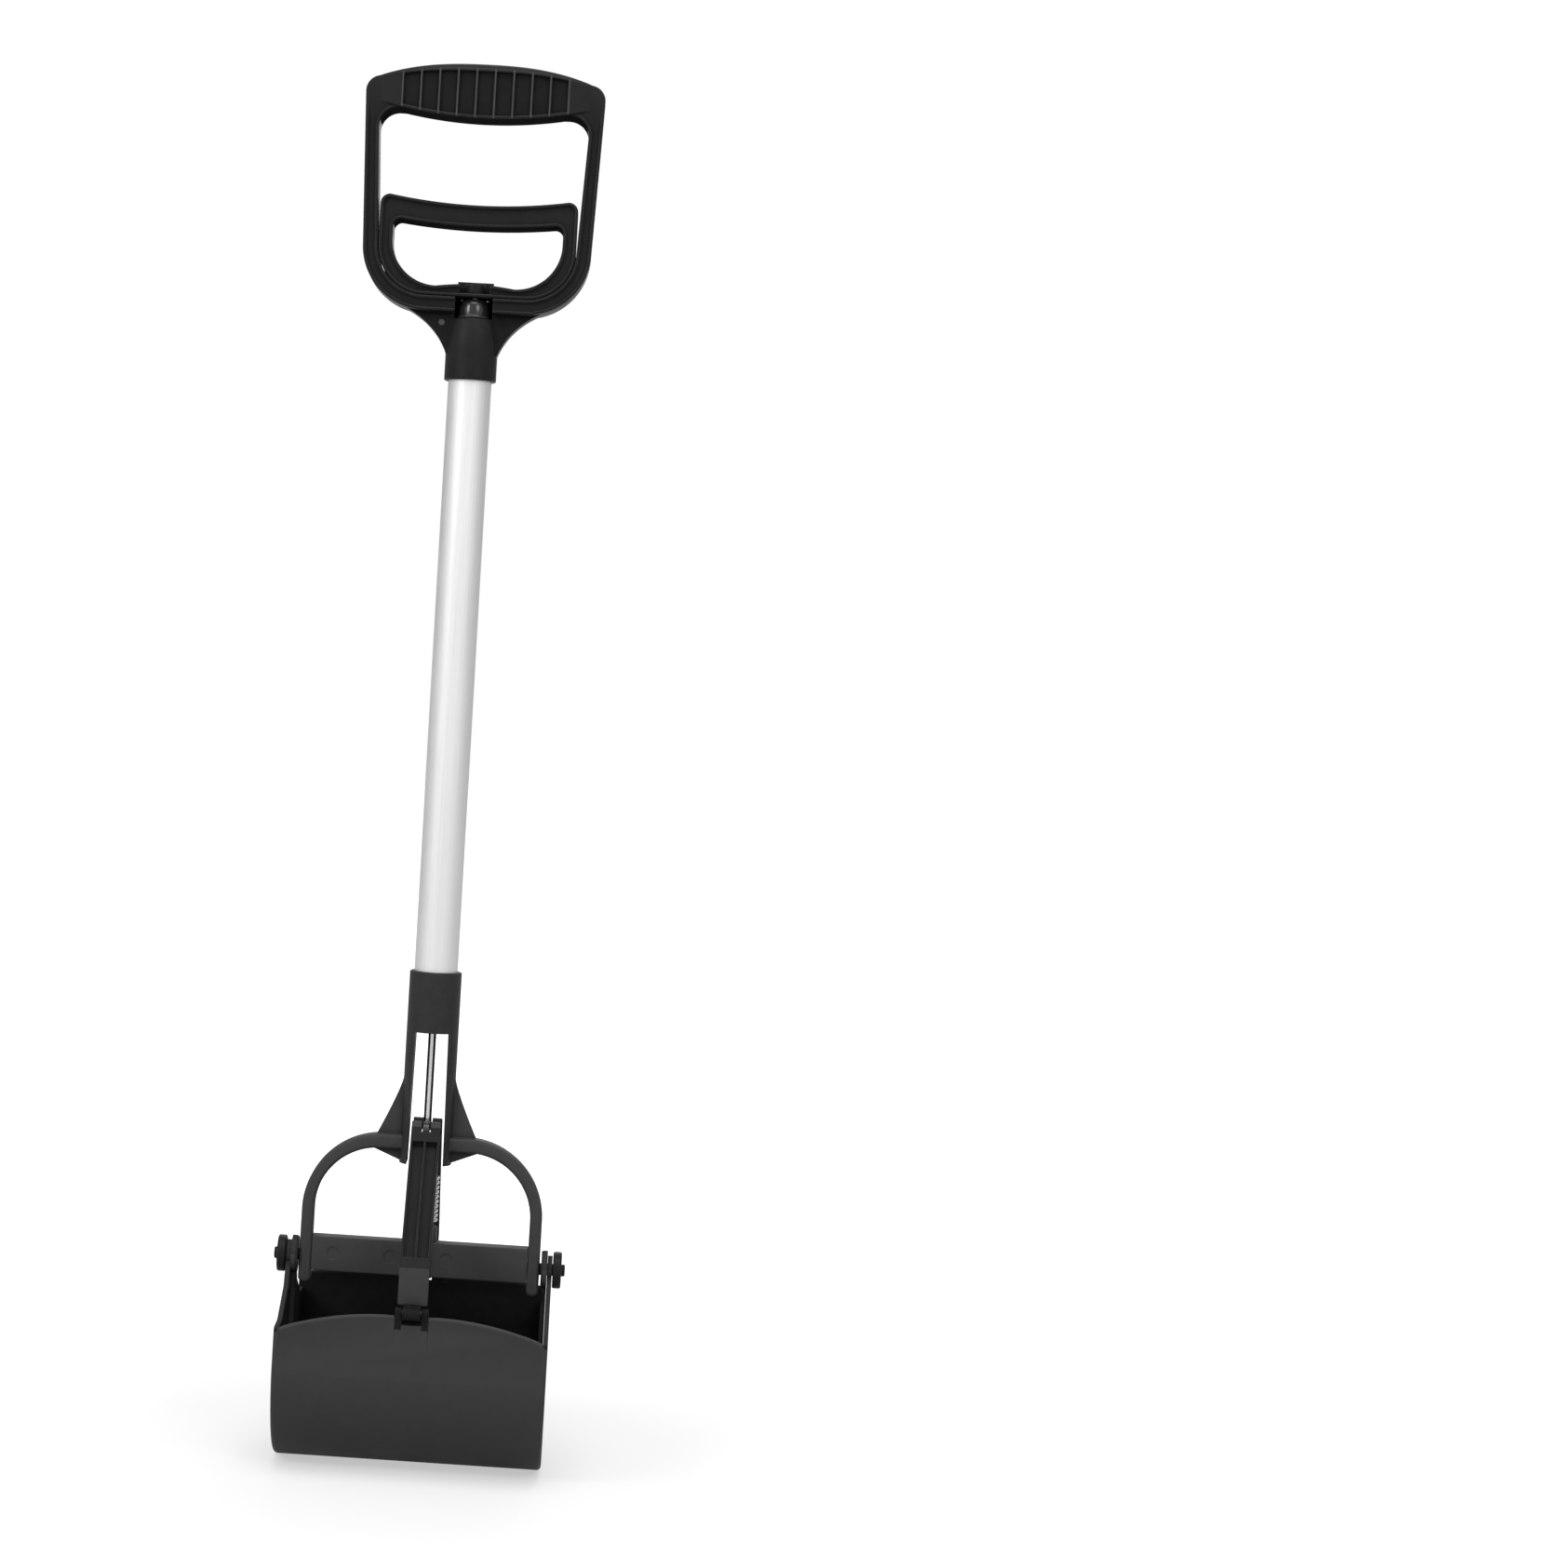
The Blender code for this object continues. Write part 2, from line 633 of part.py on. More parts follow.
def least_gap(points, radius, skip):
    """Least space between stretches of a tube that lie more than a few points apart."""
    fine = []
    for here, there in zip(points, points[1:]):
        fine += [here.lerp(there, n / 4) for n in range(4)]
    place = np.array(fine)
    least = math.inf
    for n in range(len(place) - 4 * skip):
        ahead = place[n + 4 * skip:]
        least = min(least, float(np.min(np.linalg.norm(ahead - place[n], axis=1))))
    return least - 2 * radius


def make_spring(finish):
    """The closing spring as one unbroken tube."""
    points = spring_path()
    print("closing_spring least gap, mm:", round(1000 * least_gap(points, spring_wire_radius, 5), 3))
    data = bpy.data.curves.new("closing_spring", "CURVE")
    data.dimensions = "3D"
    data.bevel_depth = spring_wire_radius
    data.bevel_resolution = spring_bevel_resolution
    data.use_fill_caps = True
    line = data.splines.new("POLY")
    line.points.add(len(points) - 1)
    for knot, point in zip(line.points, points):
        knot.co = (*point, 1)
    data.materials.append(finish)
    spring = bpy.data.objects.new("closing_spring", data)
    bpy.context.collection.objects.link(spring)
    return spring


def make_pull_rod(finish):
    """The rod, with the eye plate that carries both links at its foot."""
    low, high, half = eye_plate_foot_z, eye_plate_top_z, eye_plate_half_length
    corner = eye_plate_corner
    right = [(0, low)] + arc((half - corner, low + corner), corner, -90, 0, 4)
    right += arc((half - corner, high - corner), corner, 0, 90, 4) + [(0, high)]
    pull = prism("pull_rod", mirrored(right), -eye_plate_thickness / 2, eye_plate_thickness / 2, "X", finish)
    join(pull, bar("pull_rod_bar", rod_radius, high - eye_plate_corner, ferrule_top_z - gap, steps=16))
    for name, side in (("front", -1), ("rear", 1)):
        cut(pull, bar(f"pull_rod_{name}_eye", link_pin_radius + running_gap, -link_half_width,
                      link_half_width, (0, side * link_pin_offset, link_pin_z), "X"))
    return pull


def make_link(name, side, finish):
    """A cranked link: split knuckle, ribbed limb, upright foot and slotted eye."""
    pin = (link_pin_offset, link_pin_z)
    down = Vector((link_foot_front - link_pin_offset, -link_pin_above_pivot - link_aim_below_pivot)).normalized()
    out = Vector((-down[1], down[0]))
    start = Vector(pin) + out * link_knuckle_radius
    elbow = start + down * ((link_foot_front - start[0]) / down[0])
    back = start - out * link_thickness
    inner_reach = link_foot_front - link_thickness
    inner = back + down * ((inner_reach - back[0]) / down[0])
    foot_z = hinge_z + link_foot_above_hinge
    lean = math.degrees(math.atan2(out[1], out[0]))
    outline = [(link_foot_front, foot_z), tuple(elbow)]
    outline += arc(pin, link_knuckle_radius, lean, lean + 262, 16)
    outline += [tuple(inner), (inner_reach, foot_z)]
    link = prism(name, facing(side, outline), -link_half_width, link_half_width, "X", finish)
    round_edges(link, link_round, 1)

    eye = stadium((hinge_reach, hinge_z), (hinge_reach + hinge_slot_travel, hinge_z),
                  hinge_slot_half + link_barrel_wall)
    join(link, prism(f"{name}_eye", facing(side, eye), -link_barrel_half_width, link_barrel_half_width, "X"))
    neck_top = foot_z + link_thickness / 2
    neck = [(inner_reach + link_neck_inset, hinge_z), (link_foot_front - link_neck_inset / 2, hinge_z),
            (link_foot_front - link_neck_inset / 2, neck_top), (inner_reach + link_neck_inset, neck_top)]
    join(link, prism(f"{name}_neck", facing(side, neck), -link_barrel_half_width + gap,
                     link_barrel_half_width - gap, "X"))

    first = start + down * link_channel_start
    last = elbow - down * link_channel_end
    floor = out * link_channel_depth
    lid = out * overrun
    channel = [tuple(first + lid), tuple(last + lid), tuple(last - floor), tuple(first - floor)]
    for number, across in (("left", -1), ("right", 1)):
        ends = sorted((across * link_rib / 2, across * (link_half_width - link_rib)))
        cut(link, prism(f"{name}_{number}_channel", facing(side, channel), *ends, "X"))
    notch = [(link_pin_offset - link_knuckle_radius - overrun, link_pin_z - link_notch_drop),
             (link_notch_reach, link_pin_z - link_notch_drop),
             (link_notch_reach, link_pin_z + link_knuckle_radius + overrun),
             (link_pin_offset - link_knuckle_radius - overrun, link_pin_z + link_knuckle_radius + overrun)]
    cut(link, prism(f"{name}_notch", facing(side, notch), -link_notch_half, link_notch_half, "X"))
    cut(link, bar(f"{name}_pin_hole", link_pin_radius + gap, -link_half_width - overrun,
                  link_half_width + overrun, (0, side * link_pin_offset, link_pin_z), "X"))
    slot = stadium((hinge_reach, hinge_z), (hinge_reach + hinge_slot_travel, hinge_z), hinge_slot_half)
    cut(link, prism(f"{name}_slot", facing(side, slot), -link_half_width, link_half_width, "X"))
    return link


def stadium(start, end, radius, steps=8):
    """Outline of two half circles joined by straight sides."""
    angle = math.degrees(math.atan2(end[1] - start[1], end[0] - start[0]))
    outline = arc(end, radius, angle - 90, angle + 90, steps)
    return outline + arc(start, radius, angle + 90, angle + 270, steps)


def shell_side(inset, tail):
    """Side profile of a jaw's skin at a depth, from its tip up to its flat front."""
    radius = jaw_radius - inset
    reach = jaw_flat_reach - inset
    meet = -math.degrees(math.acos(reach / radius))
    return [(-tail, curve_z - radius)] + arc((0, curve_z), radius, -90, meet, 14)


def front_top():
    """Right half of the front jaw's arched top edge, from the middle outwards."""
    shoulder = (jaw_half_width - jaw_shoulder_inset, jaw_top_z - jaw_shoulder_drop)
    edge = [(0, jaw_top_z)] + curve((jaw_top_flat, jaw_top_z), (jaw_top_bend, jaw_top_z), shoulder)
    return edge + curve(shoulder, (jaw_half_width - jaw_corner_inset, jaw_top_z - jaw_corner_bend_drop),
                        (jaw_half_width, jaw_top_z - jaw_corner_drop), 5)[1:]


def rear_top():
    """Right half of the rear jaw's nearly level top edge."""
    edge = [(0, jaw_top_z)]
    return edge + curve((rear_top_flat, jaw_top_z), (rear_top_bend, jaw_top_z),
                        (rear_half_width, jaw_top_z - rear_top_drop))


def make_jaw(name, side, half_width, ear_radius, boss, lap, top_edge, finish):
    """A bucket: rounded outside first, then parted, arched, hollowed, eared and lugged."""
    above = pivot_z - plate_top_start + overrun
    outside = shell_side(0, overrun) + [(jaw_flat_reach, above), (-overrun, above)]
    jaw = prism(name, facing(side, outside), -half_width, half_width, "X", finish)
    round_edges(jaw, jaw_edge_round, 3)

    wide = half_width + overrun
    far = above + overrun
    tail = 2 * overrun
    parting = [(-tail, -overrun), (jaw_parting_gap, -overrun), (jaw_parting_gap, far), (-tail, far)]
    cut(jaw, prism(f"{name}_parting", facing(side, parting), -wide, wide, "X"))

    plate = [(-tail, pivot_z - plate_top_start)]
    plate += curve((0, pivot_z - plate_top_start), (plate_top_bend, pivot_z - plate_top_bend_drop),
                   (plate_top_reach, pivot_z - plate_top_drop))
    plate += [(jaw_flat_reach - jaw_wall, pivot_z - plate_corner_drop), (jaw_flat_reach - jaw_wall, far)]
    plate += [(-tail, far)]
    cut(jaw, prism(f"{name}_plate_top", facing(side, plate), -wide, wide, "X"))

    right = top_edge + [(wide, top_edge[-1][1]), (wide, far), (0, far)]
    ends = sorted((side * (jaw_flat_reach - jaw_wall), side * (jaw_flat_reach + overrun)))
    cut(jaw, prism(f"{name}_arch", mirrored(right), *ends))

    inside = shell_side(jaw_wall, tail) + [(jaw_flat_reach - jaw_wall, far), (-tail, far)]
    cut(jaw, prism(f"{name}_hollow", facing(side, inside), -half_width + jaw_wall, half_width - jaw_wall, "X"))

    if lap:
        radius = jaw_radius - jaw_edge_round
        spread = math.degrees(math.asin(lap / radius))
        tab = arc((0, curve_z), radius, -90 - spread, -90 + spread / 2, 4)
        tab += [(tab[-1][0], pivot_z - plate_top_start - jaw_wall), (-lap, pivot_z - plate_top_start - jaw_wall)]
        for label, across in (("right", 1), ("left", -1)):
            ends = sorted((across * half_width, across * (half_width - jaw_wall)))
            join(jaw, prism(f"{name}_{label}_lap", facing(side, tab), *ends, "X"))

    ear = arc((0, pivot_z), ear_radius, ear_start_angle, ear_end_angle, 20)
    ear += [(jaw_parting_gap, pivot_z - ear_foot_drop), (ear_foot_reach, pivot_z - ear_foot_drop)]
    ear += curve(ear[-1], (ear_bend_reach, pivot_z - ear_bend_drop), ear[0], 5)[1:-1]
    disc = arc((0, pivot_z), ear_radius - gap, 0, 342, 19)
    for label, across in (("right", 1), ("left", -1)):
        ends = sorted((across * half_width, across * (half_width - jaw_wall)))
        join(jaw, prism(f"{name}_{label}_ear", facing(side, ear), *ends, "X"))
        if boss:
            ends = sorted((across * (half_width - jaw_wall / 2), across * (half_width - jaw_wall - boss)))
            join(jaw, prism(f"{name}_{label}_boss", facing(side, disc), *ends, "X"))

    lug_foot = hinge_z - hinge_notch_drop
    lug = arc((hinge_reach, hinge_z), hinge_lug_radius, 0, 180)
    lug += [(hinge_reach - hinge_lug_radius, hinge_z - hinge_pin_radius)]
    lug += [(jaw_flat_reach - jaw_wall / 2, lug_foot - hinge_lug_radius)]
    lug += [(jaw_flat_reach - hinge_pad_proud, hinge_z - hinge_pad_foot_drop)]
    lug += [(jaw_flat_reach + hinge_pad_proud, lug_foot - hinge_lug_radius)]
    pad = [(jaw_flat_reach - jaw_wall / 2, lug_foot)]
    pad += [(jaw_flat_reach - hinge_pad_proud, hinge_z - hinge_pad_foot_drop)]
    pad += [(jaw_flat_reach + hinge_pad_proud, lug_foot - hinge_lug_radius)]
    pad += [(jaw_flat_reach + hinge_pad_proud, lug_foot)]
    join(jaw, prism(f"{name}_pad", facing(side, pad), -hinge_lug_inner - gap, hinge_lug_inner + gap, "X"))
    for label, across in (("right", 1), ("left", -1)):
        ends = sorted((across * hinge_lug_inner, across * hinge_lug_outer))
        join(jaw, prism(f"{name}_{label}_lug", facing(side, lug), *ends, "X"))
    notch = [(hinge_reach - overrun, hinge_z - hinge_notch_back_drop),
             (jaw_flat_reach - jaw_wall, hinge_z - hinge_notch_back_drop), (jaw_flat_reach, lug_foot),
             (hinge_reach + overrun, lug_foot), (hinge_reach + overrun, far), (hinge_reach - overrun, far)]
    cut(jaw, prism(f"{name}_notch", facing(side, notch), -hinge_notch_half, hinge_notch_half, "X"))
    cut(jaw, bar(f"{name}_hinge_hole", hinge_pin_radius + gap, -hinge_lug_outer - overrun,
                 hinge_lug_outer + overrun, (0, side * hinge_reach, hinge_z), "X"))
    cut(jaw, bar(f"{name}_pivot_hole", pivot_pin_radius + running_gap, -wide, wide, (0, 0, pivot_z), "X"))
    return jaw


def make_rivet(name, centre_z, finish):
    """A blind rivet from the back, through the socket and the tube."""
    inside = tube_radius - tube_wall - gap
    head = socket_radius + gap
    profile = [(rivet_tail_radius, inside - rivet_tail_length), (rivet_tail_radius, inside - gap)]
    profile += [(rivet_radius, inside - gap), (rivet_radius, head)]
    profile += [(rivet_head_radius, head), (rivet_head_radius, head + rivet_head_height * dome_share)]
    profile += [(rivet_head_radius * dome_share, head + rivet_head_height)]
    return turned(name, profile, (0, 0, centre_z), "Y", small_steps, finish)


def hang(piece, empty):
    """Parent a piece to the empty on its joint's axis, and leave it where it is."""
    piece.parent = empty
    piece.matrix_parent_inverse = Matrix.Translation(-empty.location)


def joint(name, place):
    """An empty on a joint's axis."""
    empty = bpy.data.objects.new(name, None)
    empty.location = place
    bpy.context.collection.objects.link(empty)
    return empty


def main():
    """Clear the scene, make the materials, then the pieces from the frame outwards."""
    for old in list(bpy.data.objects):
        bpy.data.objects.remove(old, do_unlink=True)
    black = material("black_nylon", (0.014, 0.014, 0.0145), 0.42, 0)
    charcoal = material("charcoal_nylon", (0.024, 0.024, 0.025), 0.5, 0)
    gloss = material("gloss_nylon", (0.010, 0.010, 0.010), 0.14, 0)
    silver = material("silver_tube", (0.78, 0.78, 0.78), 0.3, 1)
    steel = material("bright_steel", (0.66, 0.66, 0.66), 0.24, 1)

    make_handle_frame(black)
    profile = [(guide_spigot_radius, shoulder_z - guide_spigot_length), (guide_spigot_radius, shoulder_z + gap)]
    profile += [(guide_flange_radius, shoulder_z + gap)]
    profile += [(guide_flange_radius, shoulder_z + guide_flange_height)]
    profile += curve((guide_dome_radius, shoulder_z + guide_flange_height),
                     (guide_dome_radius, shoulder_z + guide_height), (guide_crown_radius, shoulder_z + guide_height), 6)
    guide = turned("rod_guide", profile, steps=32, finish=gloss)
    cut(guide, bar("rod_guide_hole", rod_radius + running_gap, shoulder_z - guide_spigot_length - overrun,
                   shoulder_z + guide_height + overrun))
    tube = bar("tube", tube_radius, tube_foot_z, tube_top_z, steps=round_steps, finish=silver)
    cut(tube, bar("tube_bore", tube_radius - tube_wall, tube_foot_z - overrun, tube_top_z + overrun,
                  steps=round_steps))
    for place, z in (("upper", upper_rim_z + rivet_inset), ("lower", lower_rim_z - rivet_inset)):
        cut(tube, bar(f"tube_{place}_hole", rivet_radius + gap, 0, tube_radius + overrun, (0, 0, z), "Y"))
        make_rivet(f"{place}_socket_rivet", z, steel)
    make_fork(charcoal)
    make_crossbar(charcoal)
    make_spring(steel)

    cap_foot = jaw_half_width + gap
    pin_end = cap_foot + pivot_cap_thickness + pivot_pin_proud
    for place, across in (("left", -1), ("right", 1)):
        ends = sorted((across * (arm_inner_half - pivot_pin_seat), across * pin_end))
        bar(f"{place}_pivot_pin", pivot_pin_radius, *ends, (0, 0, pivot_z), "X", edge=pivot_pin_round, finish=black)
        flat = pivot_cap_radius - pivot_cap_round
        profile = [(pivot_cap_radius, across * cap_foot)]
        profile += [(pivot_cap_radius, across * (cap_foot + pivot_cap_thickness - pivot_cap_round))]
        profile += [(flat, across * (cap_foot + pivot_cap_thickness))]
        cap = turned(f"{place}_pivot_cap", profile, (0, 0, pivot_z), "X", 32, black)
        ends = sorted((across * (cap_foot - overrun), across * (pin_end + overrun)))
        cut(cap, bar(f"{place}_pivot_cap_hole", pivot_pin_radius + gap, *ends, (0, 0, pivot_z), "X"))

    pull = joint("trigger_pull", (0, 0, trigger_foot_z))
    trigger = make_trigger(black)
    rod = make_pull_rod(steel)
    ferrule = bar("rod_ferrule", ferrule_radius, ferrule_foot_z, ferrule_top_z, steps=28,
                  edge=ferrule_round, finish=black)
    cut(ferrule, bar("rod_ferrule_hole", rod_radius + gap, ferrule_foot_z - overrun, ferrule_top_z + overrun))
    for piece in (trigger, rod, ferrule):
        hang(piece, pull)

    jaws = (("front", -1, jaw_half_width, front_ear_radius, 0, jaw_lap, front_top()),
            ("rear", 1, rear_half_width, rear_ear_radius, rear_boss_height, 0, rear_top()))
    for name, side, half_width, ear_radius, boss, lap, top_edge in jaws:
        pin = bar(f"{name}_link_pin", link_pin_radius, -link_pin_half_length, link_pin_half_length,
                  (0, side * link_pin_offset, link_pin_z), "X", 16, finish=steel)
        hang(pin, pull)
        swing = joint(f"{name}_link_swing", (0, side * link_pin_offset, link_pin_z))
        hang(make_link(f"{name}_link", side, charcoal), swing)
        turn = joint(f"{name}_jaw_turn", (0, 0, pivot_z))
        hang(make_jaw(f"{name}_jaw", side, half_width, ear_radius, boss, lap, top_edge, charcoal), turn)
        pin = bar(f"{name}_hinge_pin", hinge_pin_radius, -hinge_lug_outer, hinge_lug_outer,
                  (0, side * hinge_reach, hinge_z), "X", 16, finish=steel)
        hang(pin, turn)


main()
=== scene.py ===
"""Looks for the pooper scooper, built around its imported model."""

import math

import bmesh
import bpy
import numpy as np
from mathutils import Matrix, Vector


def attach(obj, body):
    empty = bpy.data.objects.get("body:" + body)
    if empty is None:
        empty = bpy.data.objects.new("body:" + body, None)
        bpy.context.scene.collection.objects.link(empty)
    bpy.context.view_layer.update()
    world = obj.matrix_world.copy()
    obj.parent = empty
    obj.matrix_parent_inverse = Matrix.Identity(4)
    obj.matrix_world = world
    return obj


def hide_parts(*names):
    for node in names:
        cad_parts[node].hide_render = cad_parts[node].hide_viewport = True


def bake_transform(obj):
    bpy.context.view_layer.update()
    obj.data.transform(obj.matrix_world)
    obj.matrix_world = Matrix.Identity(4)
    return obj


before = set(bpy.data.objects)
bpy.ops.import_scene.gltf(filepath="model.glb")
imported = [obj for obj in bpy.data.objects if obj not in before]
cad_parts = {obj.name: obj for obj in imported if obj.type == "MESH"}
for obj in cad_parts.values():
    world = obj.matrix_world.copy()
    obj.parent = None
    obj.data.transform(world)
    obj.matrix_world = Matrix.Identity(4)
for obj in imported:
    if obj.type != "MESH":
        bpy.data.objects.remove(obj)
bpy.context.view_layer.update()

# Camera, from the photograph: distance, horizon height, turn to the right side and lean
distance = 1.65
horizon = 0.387
turn = math.radians(2.2)
lean = math.radians(3.29)
photo_side = 1685
pixels_per_metre = 2120
centre_column = 485.6
centre_row = 748
sensor_width = 36
view_end = 100

# Clearances, and how far each cutter runs past what it cuts
gap = 0.0003
running_gap = 0.00035
overrun = 0.0040

# Heights that stack the scooper up, each from the one before
jaw_radius = 0.0600
curve_below_pivot = 0.0400
window_top_above_pivot = 0.1168
lower_socket_length = 0.0306
tube_free_length = 0.2992
upper_socket_length = 0.0312

# Tube, rod and the two sockets
tube_radius = 0.0110
tube_wall = 0.0012
rod_radius = 0.0020
socket_wall = 0.0019
socket_rim_round = 0.0008
socket_floor = 0.0040

# Jaws
jaw_wall = 0.0024
jaw_flat_inset = 0.0005
jaw_side_gap = 0.0004
jaw_arm_gap = 0.0005
jaw_parting_gap = 0.00015
jaw_lap = 0.0060
jaw_edge_round = 0.0022
jaw_top_below_pivot = 0.0170
jaw_top_flat = 0.0120
jaw_top_bend = 0.0330
jaw_shoulder_inset = 0.0134
jaw_shoulder_drop = 0.0059
jaw_corner_inset = 0.0054
jaw_corner_bend_drop = 0.0078
jaw_corner_drop = 0.0112
rear_top_flat = 0.0400
rear_top_bend = 0.0530
rear_top_drop = 0.0024
plate_top_start = 0.0095
plate_top_bend = 0.0170
plate_top_bend_drop = 0.0168
plate_top_reach = 0.0390
plate_top_drop = 0.0264
plate_corner_drop = 0.0270
ear_foot_drop = 0.0170
ear_foot_reach = 0.0130
ear_bend_reach = 0.0090
ear_bend_drop = 0.0090
front_ear_radius = 0.0070
rear_ear_radius = 0.0094
rear_boss_height = 0.0007

# Pivots of the jaws
pivot_pin_radius = 0.0030
pivot_pin_seat = 0.0085
pivot_pin_proud = 0.0018
pivot_pin_round = 0.0007
pivot_cap_radius = 0.0092
pivot_cap_thickness = 0.0044
pivot_cap_round = 0.0010

# Fork: a socket, two legs beside a window, and over each side an arch down to an arm
fork_foot_above_pivot = 0.0500
fork_window_side_gap = 0.0019
fork_window_taper = 0.0009
arm_inner_half = 0.0547
arm_width = 0.0062
arm_depth = 0.0110
arm_round = 0.0016
arm_tip_drop = 0.0135
arch_inner_radius = 0.0320
arch_inner_above_pivot = 0.0247
arch_thickening = 0.0080
arch_centre_step = 0.0007
gusset_thickness = 0.0036
gusset_top_above_pivot = 0.0950
gusset_bend_above_pivot = 0.0883
gusset_top_reach = 0.0268
gusset_foot_start = 0.0105
gusset_foot_reach = 0.0280

# Crossbar between the two arms, with the hub under the spring
crossbar_above_pivot = 0.0104
crossbar_below_pivot = 0.0069
crossbar_depth = 0.0100
hub_radius = 0.00815
hub_top_above_pivot = 0.0183
hub_round = 0.0008

# Closing spring
spring_wire_radius = 0.0006
spring_coil_radius = 0.0074
spring_pitch = 0.00237
spring_bend_radius = 0.0016
spring_leg_length = 0.0060
spring_bore_radius = 0.0012
spring_bore_spare = 0.0010

# Eye plate at the rod's foot, and the pins that the links hang on
link_pin_above_pivot = 0.0665
link_pin_offset = 0.0080
link_pin_radius = 0.0017
link_pin_recess = 0.0001
eye_plate_thickness = 0.0034
eye_plate_half_length = 0.0122
eye_plate_below_pin = 0.0060
eye_plate_above_pin = 0.0052
eye_plate_corner = 0.0036

# Links from the eye plate to the jaws
link_half_width = 0.00732
link_knuckle_radius = 0.0055
link_thickness = 0.0050
link_aim_below_pivot = 0.0028
link_foot_proud = 0.0008
link_lug_gap = 0.0015
link_notch_half = 0.0023
link_notch_reach = 0.0142
link_notch_drop = 0.0080
link_barrel_half_width = 0.0043
link_barrel_wall = 0.0011
link_neck_inset = 0.0012
link_rib = 0.0010
link_channel_depth = 0.0032
link_channel_start = 0.0080
link_channel_end = 0.0058
link_round = 0.0005

# Hinges of the links on the jaws: each pin runs in a short slot in the link's foot
hinge_inset = 0.0020
hinge_below_pivot = 0.0155
hinge_pin_radius = 0.0014
hinge_slot_half = 0.00195
hinge_slot_travel = 0.0034
hinge_lug_radius = 0.0023
hinge_side_gap = 0.0006
hinge_lug_width = 0.0033
hinge_notch_step = 0.0002
hinge_notch_drop = 0.0058
hinge_notch_back_drop = 0.0037
hinge_pad_foot_drop = 0.0255
hinge_pad_proud = 0.0002

# Handle frame: a D with a crowned grip along its top
frame_foot_half = 0.0577
frame_flare = 0.0028
frame_bar = 0.0075
frame_depth = 0.0190
frame_foot_rise = 0.0030
frame_foot_radius = 0.0322
frame_corner_round = 0.0080
frame_throat_round = 0.0100
frame_throat_climb = 0.0045
grip_height = 0.0295
grip_top_fall = 0.0085
grip_underside_rise = 0.0999
grip_underside_climb = 0.0078
grip_end_inset = 0.0045
grip_depth = 0.0262
grip_core_inset = 0.0040
grip_rib_pitch = 0.00932
frame_pocket_gap = 0.0009
neck_wall = 0.0018
neck_drop = 0.0080
lip_rise = 0.0026
web_thickness = 0.0105
web_start_half = 0.0129
web_start_drop = 0.0183
web_bend_half = 0.0189
web_bend_drop = 0.0021
web_reach = 0.0370

# Trigger: a smaller D that nests in the frame
trigger_side_gap = 0.0006
trigger_bar = 0.0066
trigger_foot_bar = 0.0045
trigger_hollow_radius = 0.0231
trigger_foot_crown = 0.0016
trigger_crown_reach = 0.0180
trigger_depth = 0.0180
trigger_pull_bar = 0.0106
trigger_top_climb = 0.0038
trigger_underside_rise = 0.0460
trigger_underside_climb = 0.0024
trigger_corner_round = 0.0045
trigger_throat_round = 0.0040
trigger_floor = 0.0015
trigger_pocket_half = 0.0076
trigger_back_wall = 0.0028

# Ferrule on the rod's top, and the domed guide below it
ferrule_radius = 0.0053
ferrule_height = 0.0050
ferrule_round = 0.0005
guide_flange_radius = 0.0087
guide_flange_height = 0.0016
guide_dome_radius = 0.0080
guide_crown_radius = 0.0050
guide_below_trigger = 0.0011
guide_spigot_radius = 0.0040
guide_spigot_length = 0.0050
handle_floor = 0.0066

# Rivets at the back that hold the tube in its sockets
rivet_radius = 0.0016
rivet_head_radius = 0.0032
rivet_head_height = 0.0012
rivet_tail_radius = 0.0024
rivet_tail_length = 0.0015
rivet_inset = 0.0130

# Counts, shares and angles
grip_rib_count = 10
grip_crown_power = 2.5
edge_segments = 5
fine_segments = 3
jaw_segments = 8
round_steps = 112
small_steps = 56
bead_steps = 20
bead_end_share = 0.35
arc_steps = 10
tiny_steps = 2
lip_steps = 3
corner_steps = 4
few_steps = 5
bend_steps = 6
stadium_steps = 8
wide_steps = 16
jaw_steps = 14
disc_steps = 20
fineness = 4
spring_turns = 11
spring_points_per_turn = 36
spring_bevel_resolution = 4
ear_start_angle = -25
ear_end_angle = 250
dome_share = 0.45
link_knuckle_sweep = 262
disc_sweep = 355
neck_sweep = 60
least_miter = 0.5
grip_end_steps = 9
bay_steps = 7
crown_steps = 15
sharp_angle = math.radians(30.0)
bevel_angle = math.radians(50.0)

# Small marks and roundings that the looks add
mark_radius = 0.0016
broad_mark_radius = 0.0032
mark_depth = 0.0002
frame_mark_reach = 0.0159
frame_mark_drop = 0.0023
crossbar_mark_reaches = (-0.0436, -0.0147, 0.0136)
crossbar_mark_rise = 0.0022
rim_width = 0.0014
rim_proud = 0.0017
rim_round = 0.0006
channel_climb = 0.0020
channel_fade = 0.0110
panel_foot = 0.0005
panel_margin = 0.0016
crown_drop = 0.0003
corner_drop = 0.0007
panel_back_foot = 0.0050
panel_head = 0.0050
panel_depth = 0.0015
crown_share = 0.9
rib_crest = 0.0008
rib_slope = 0.0003
trigger_swell = 0.00035
jaw_swell = 0.0003
small_round = 0.0004
rear_lug_radius = 0.0031
link_shade_climb = 0.0043
rim_swell = 0.00008

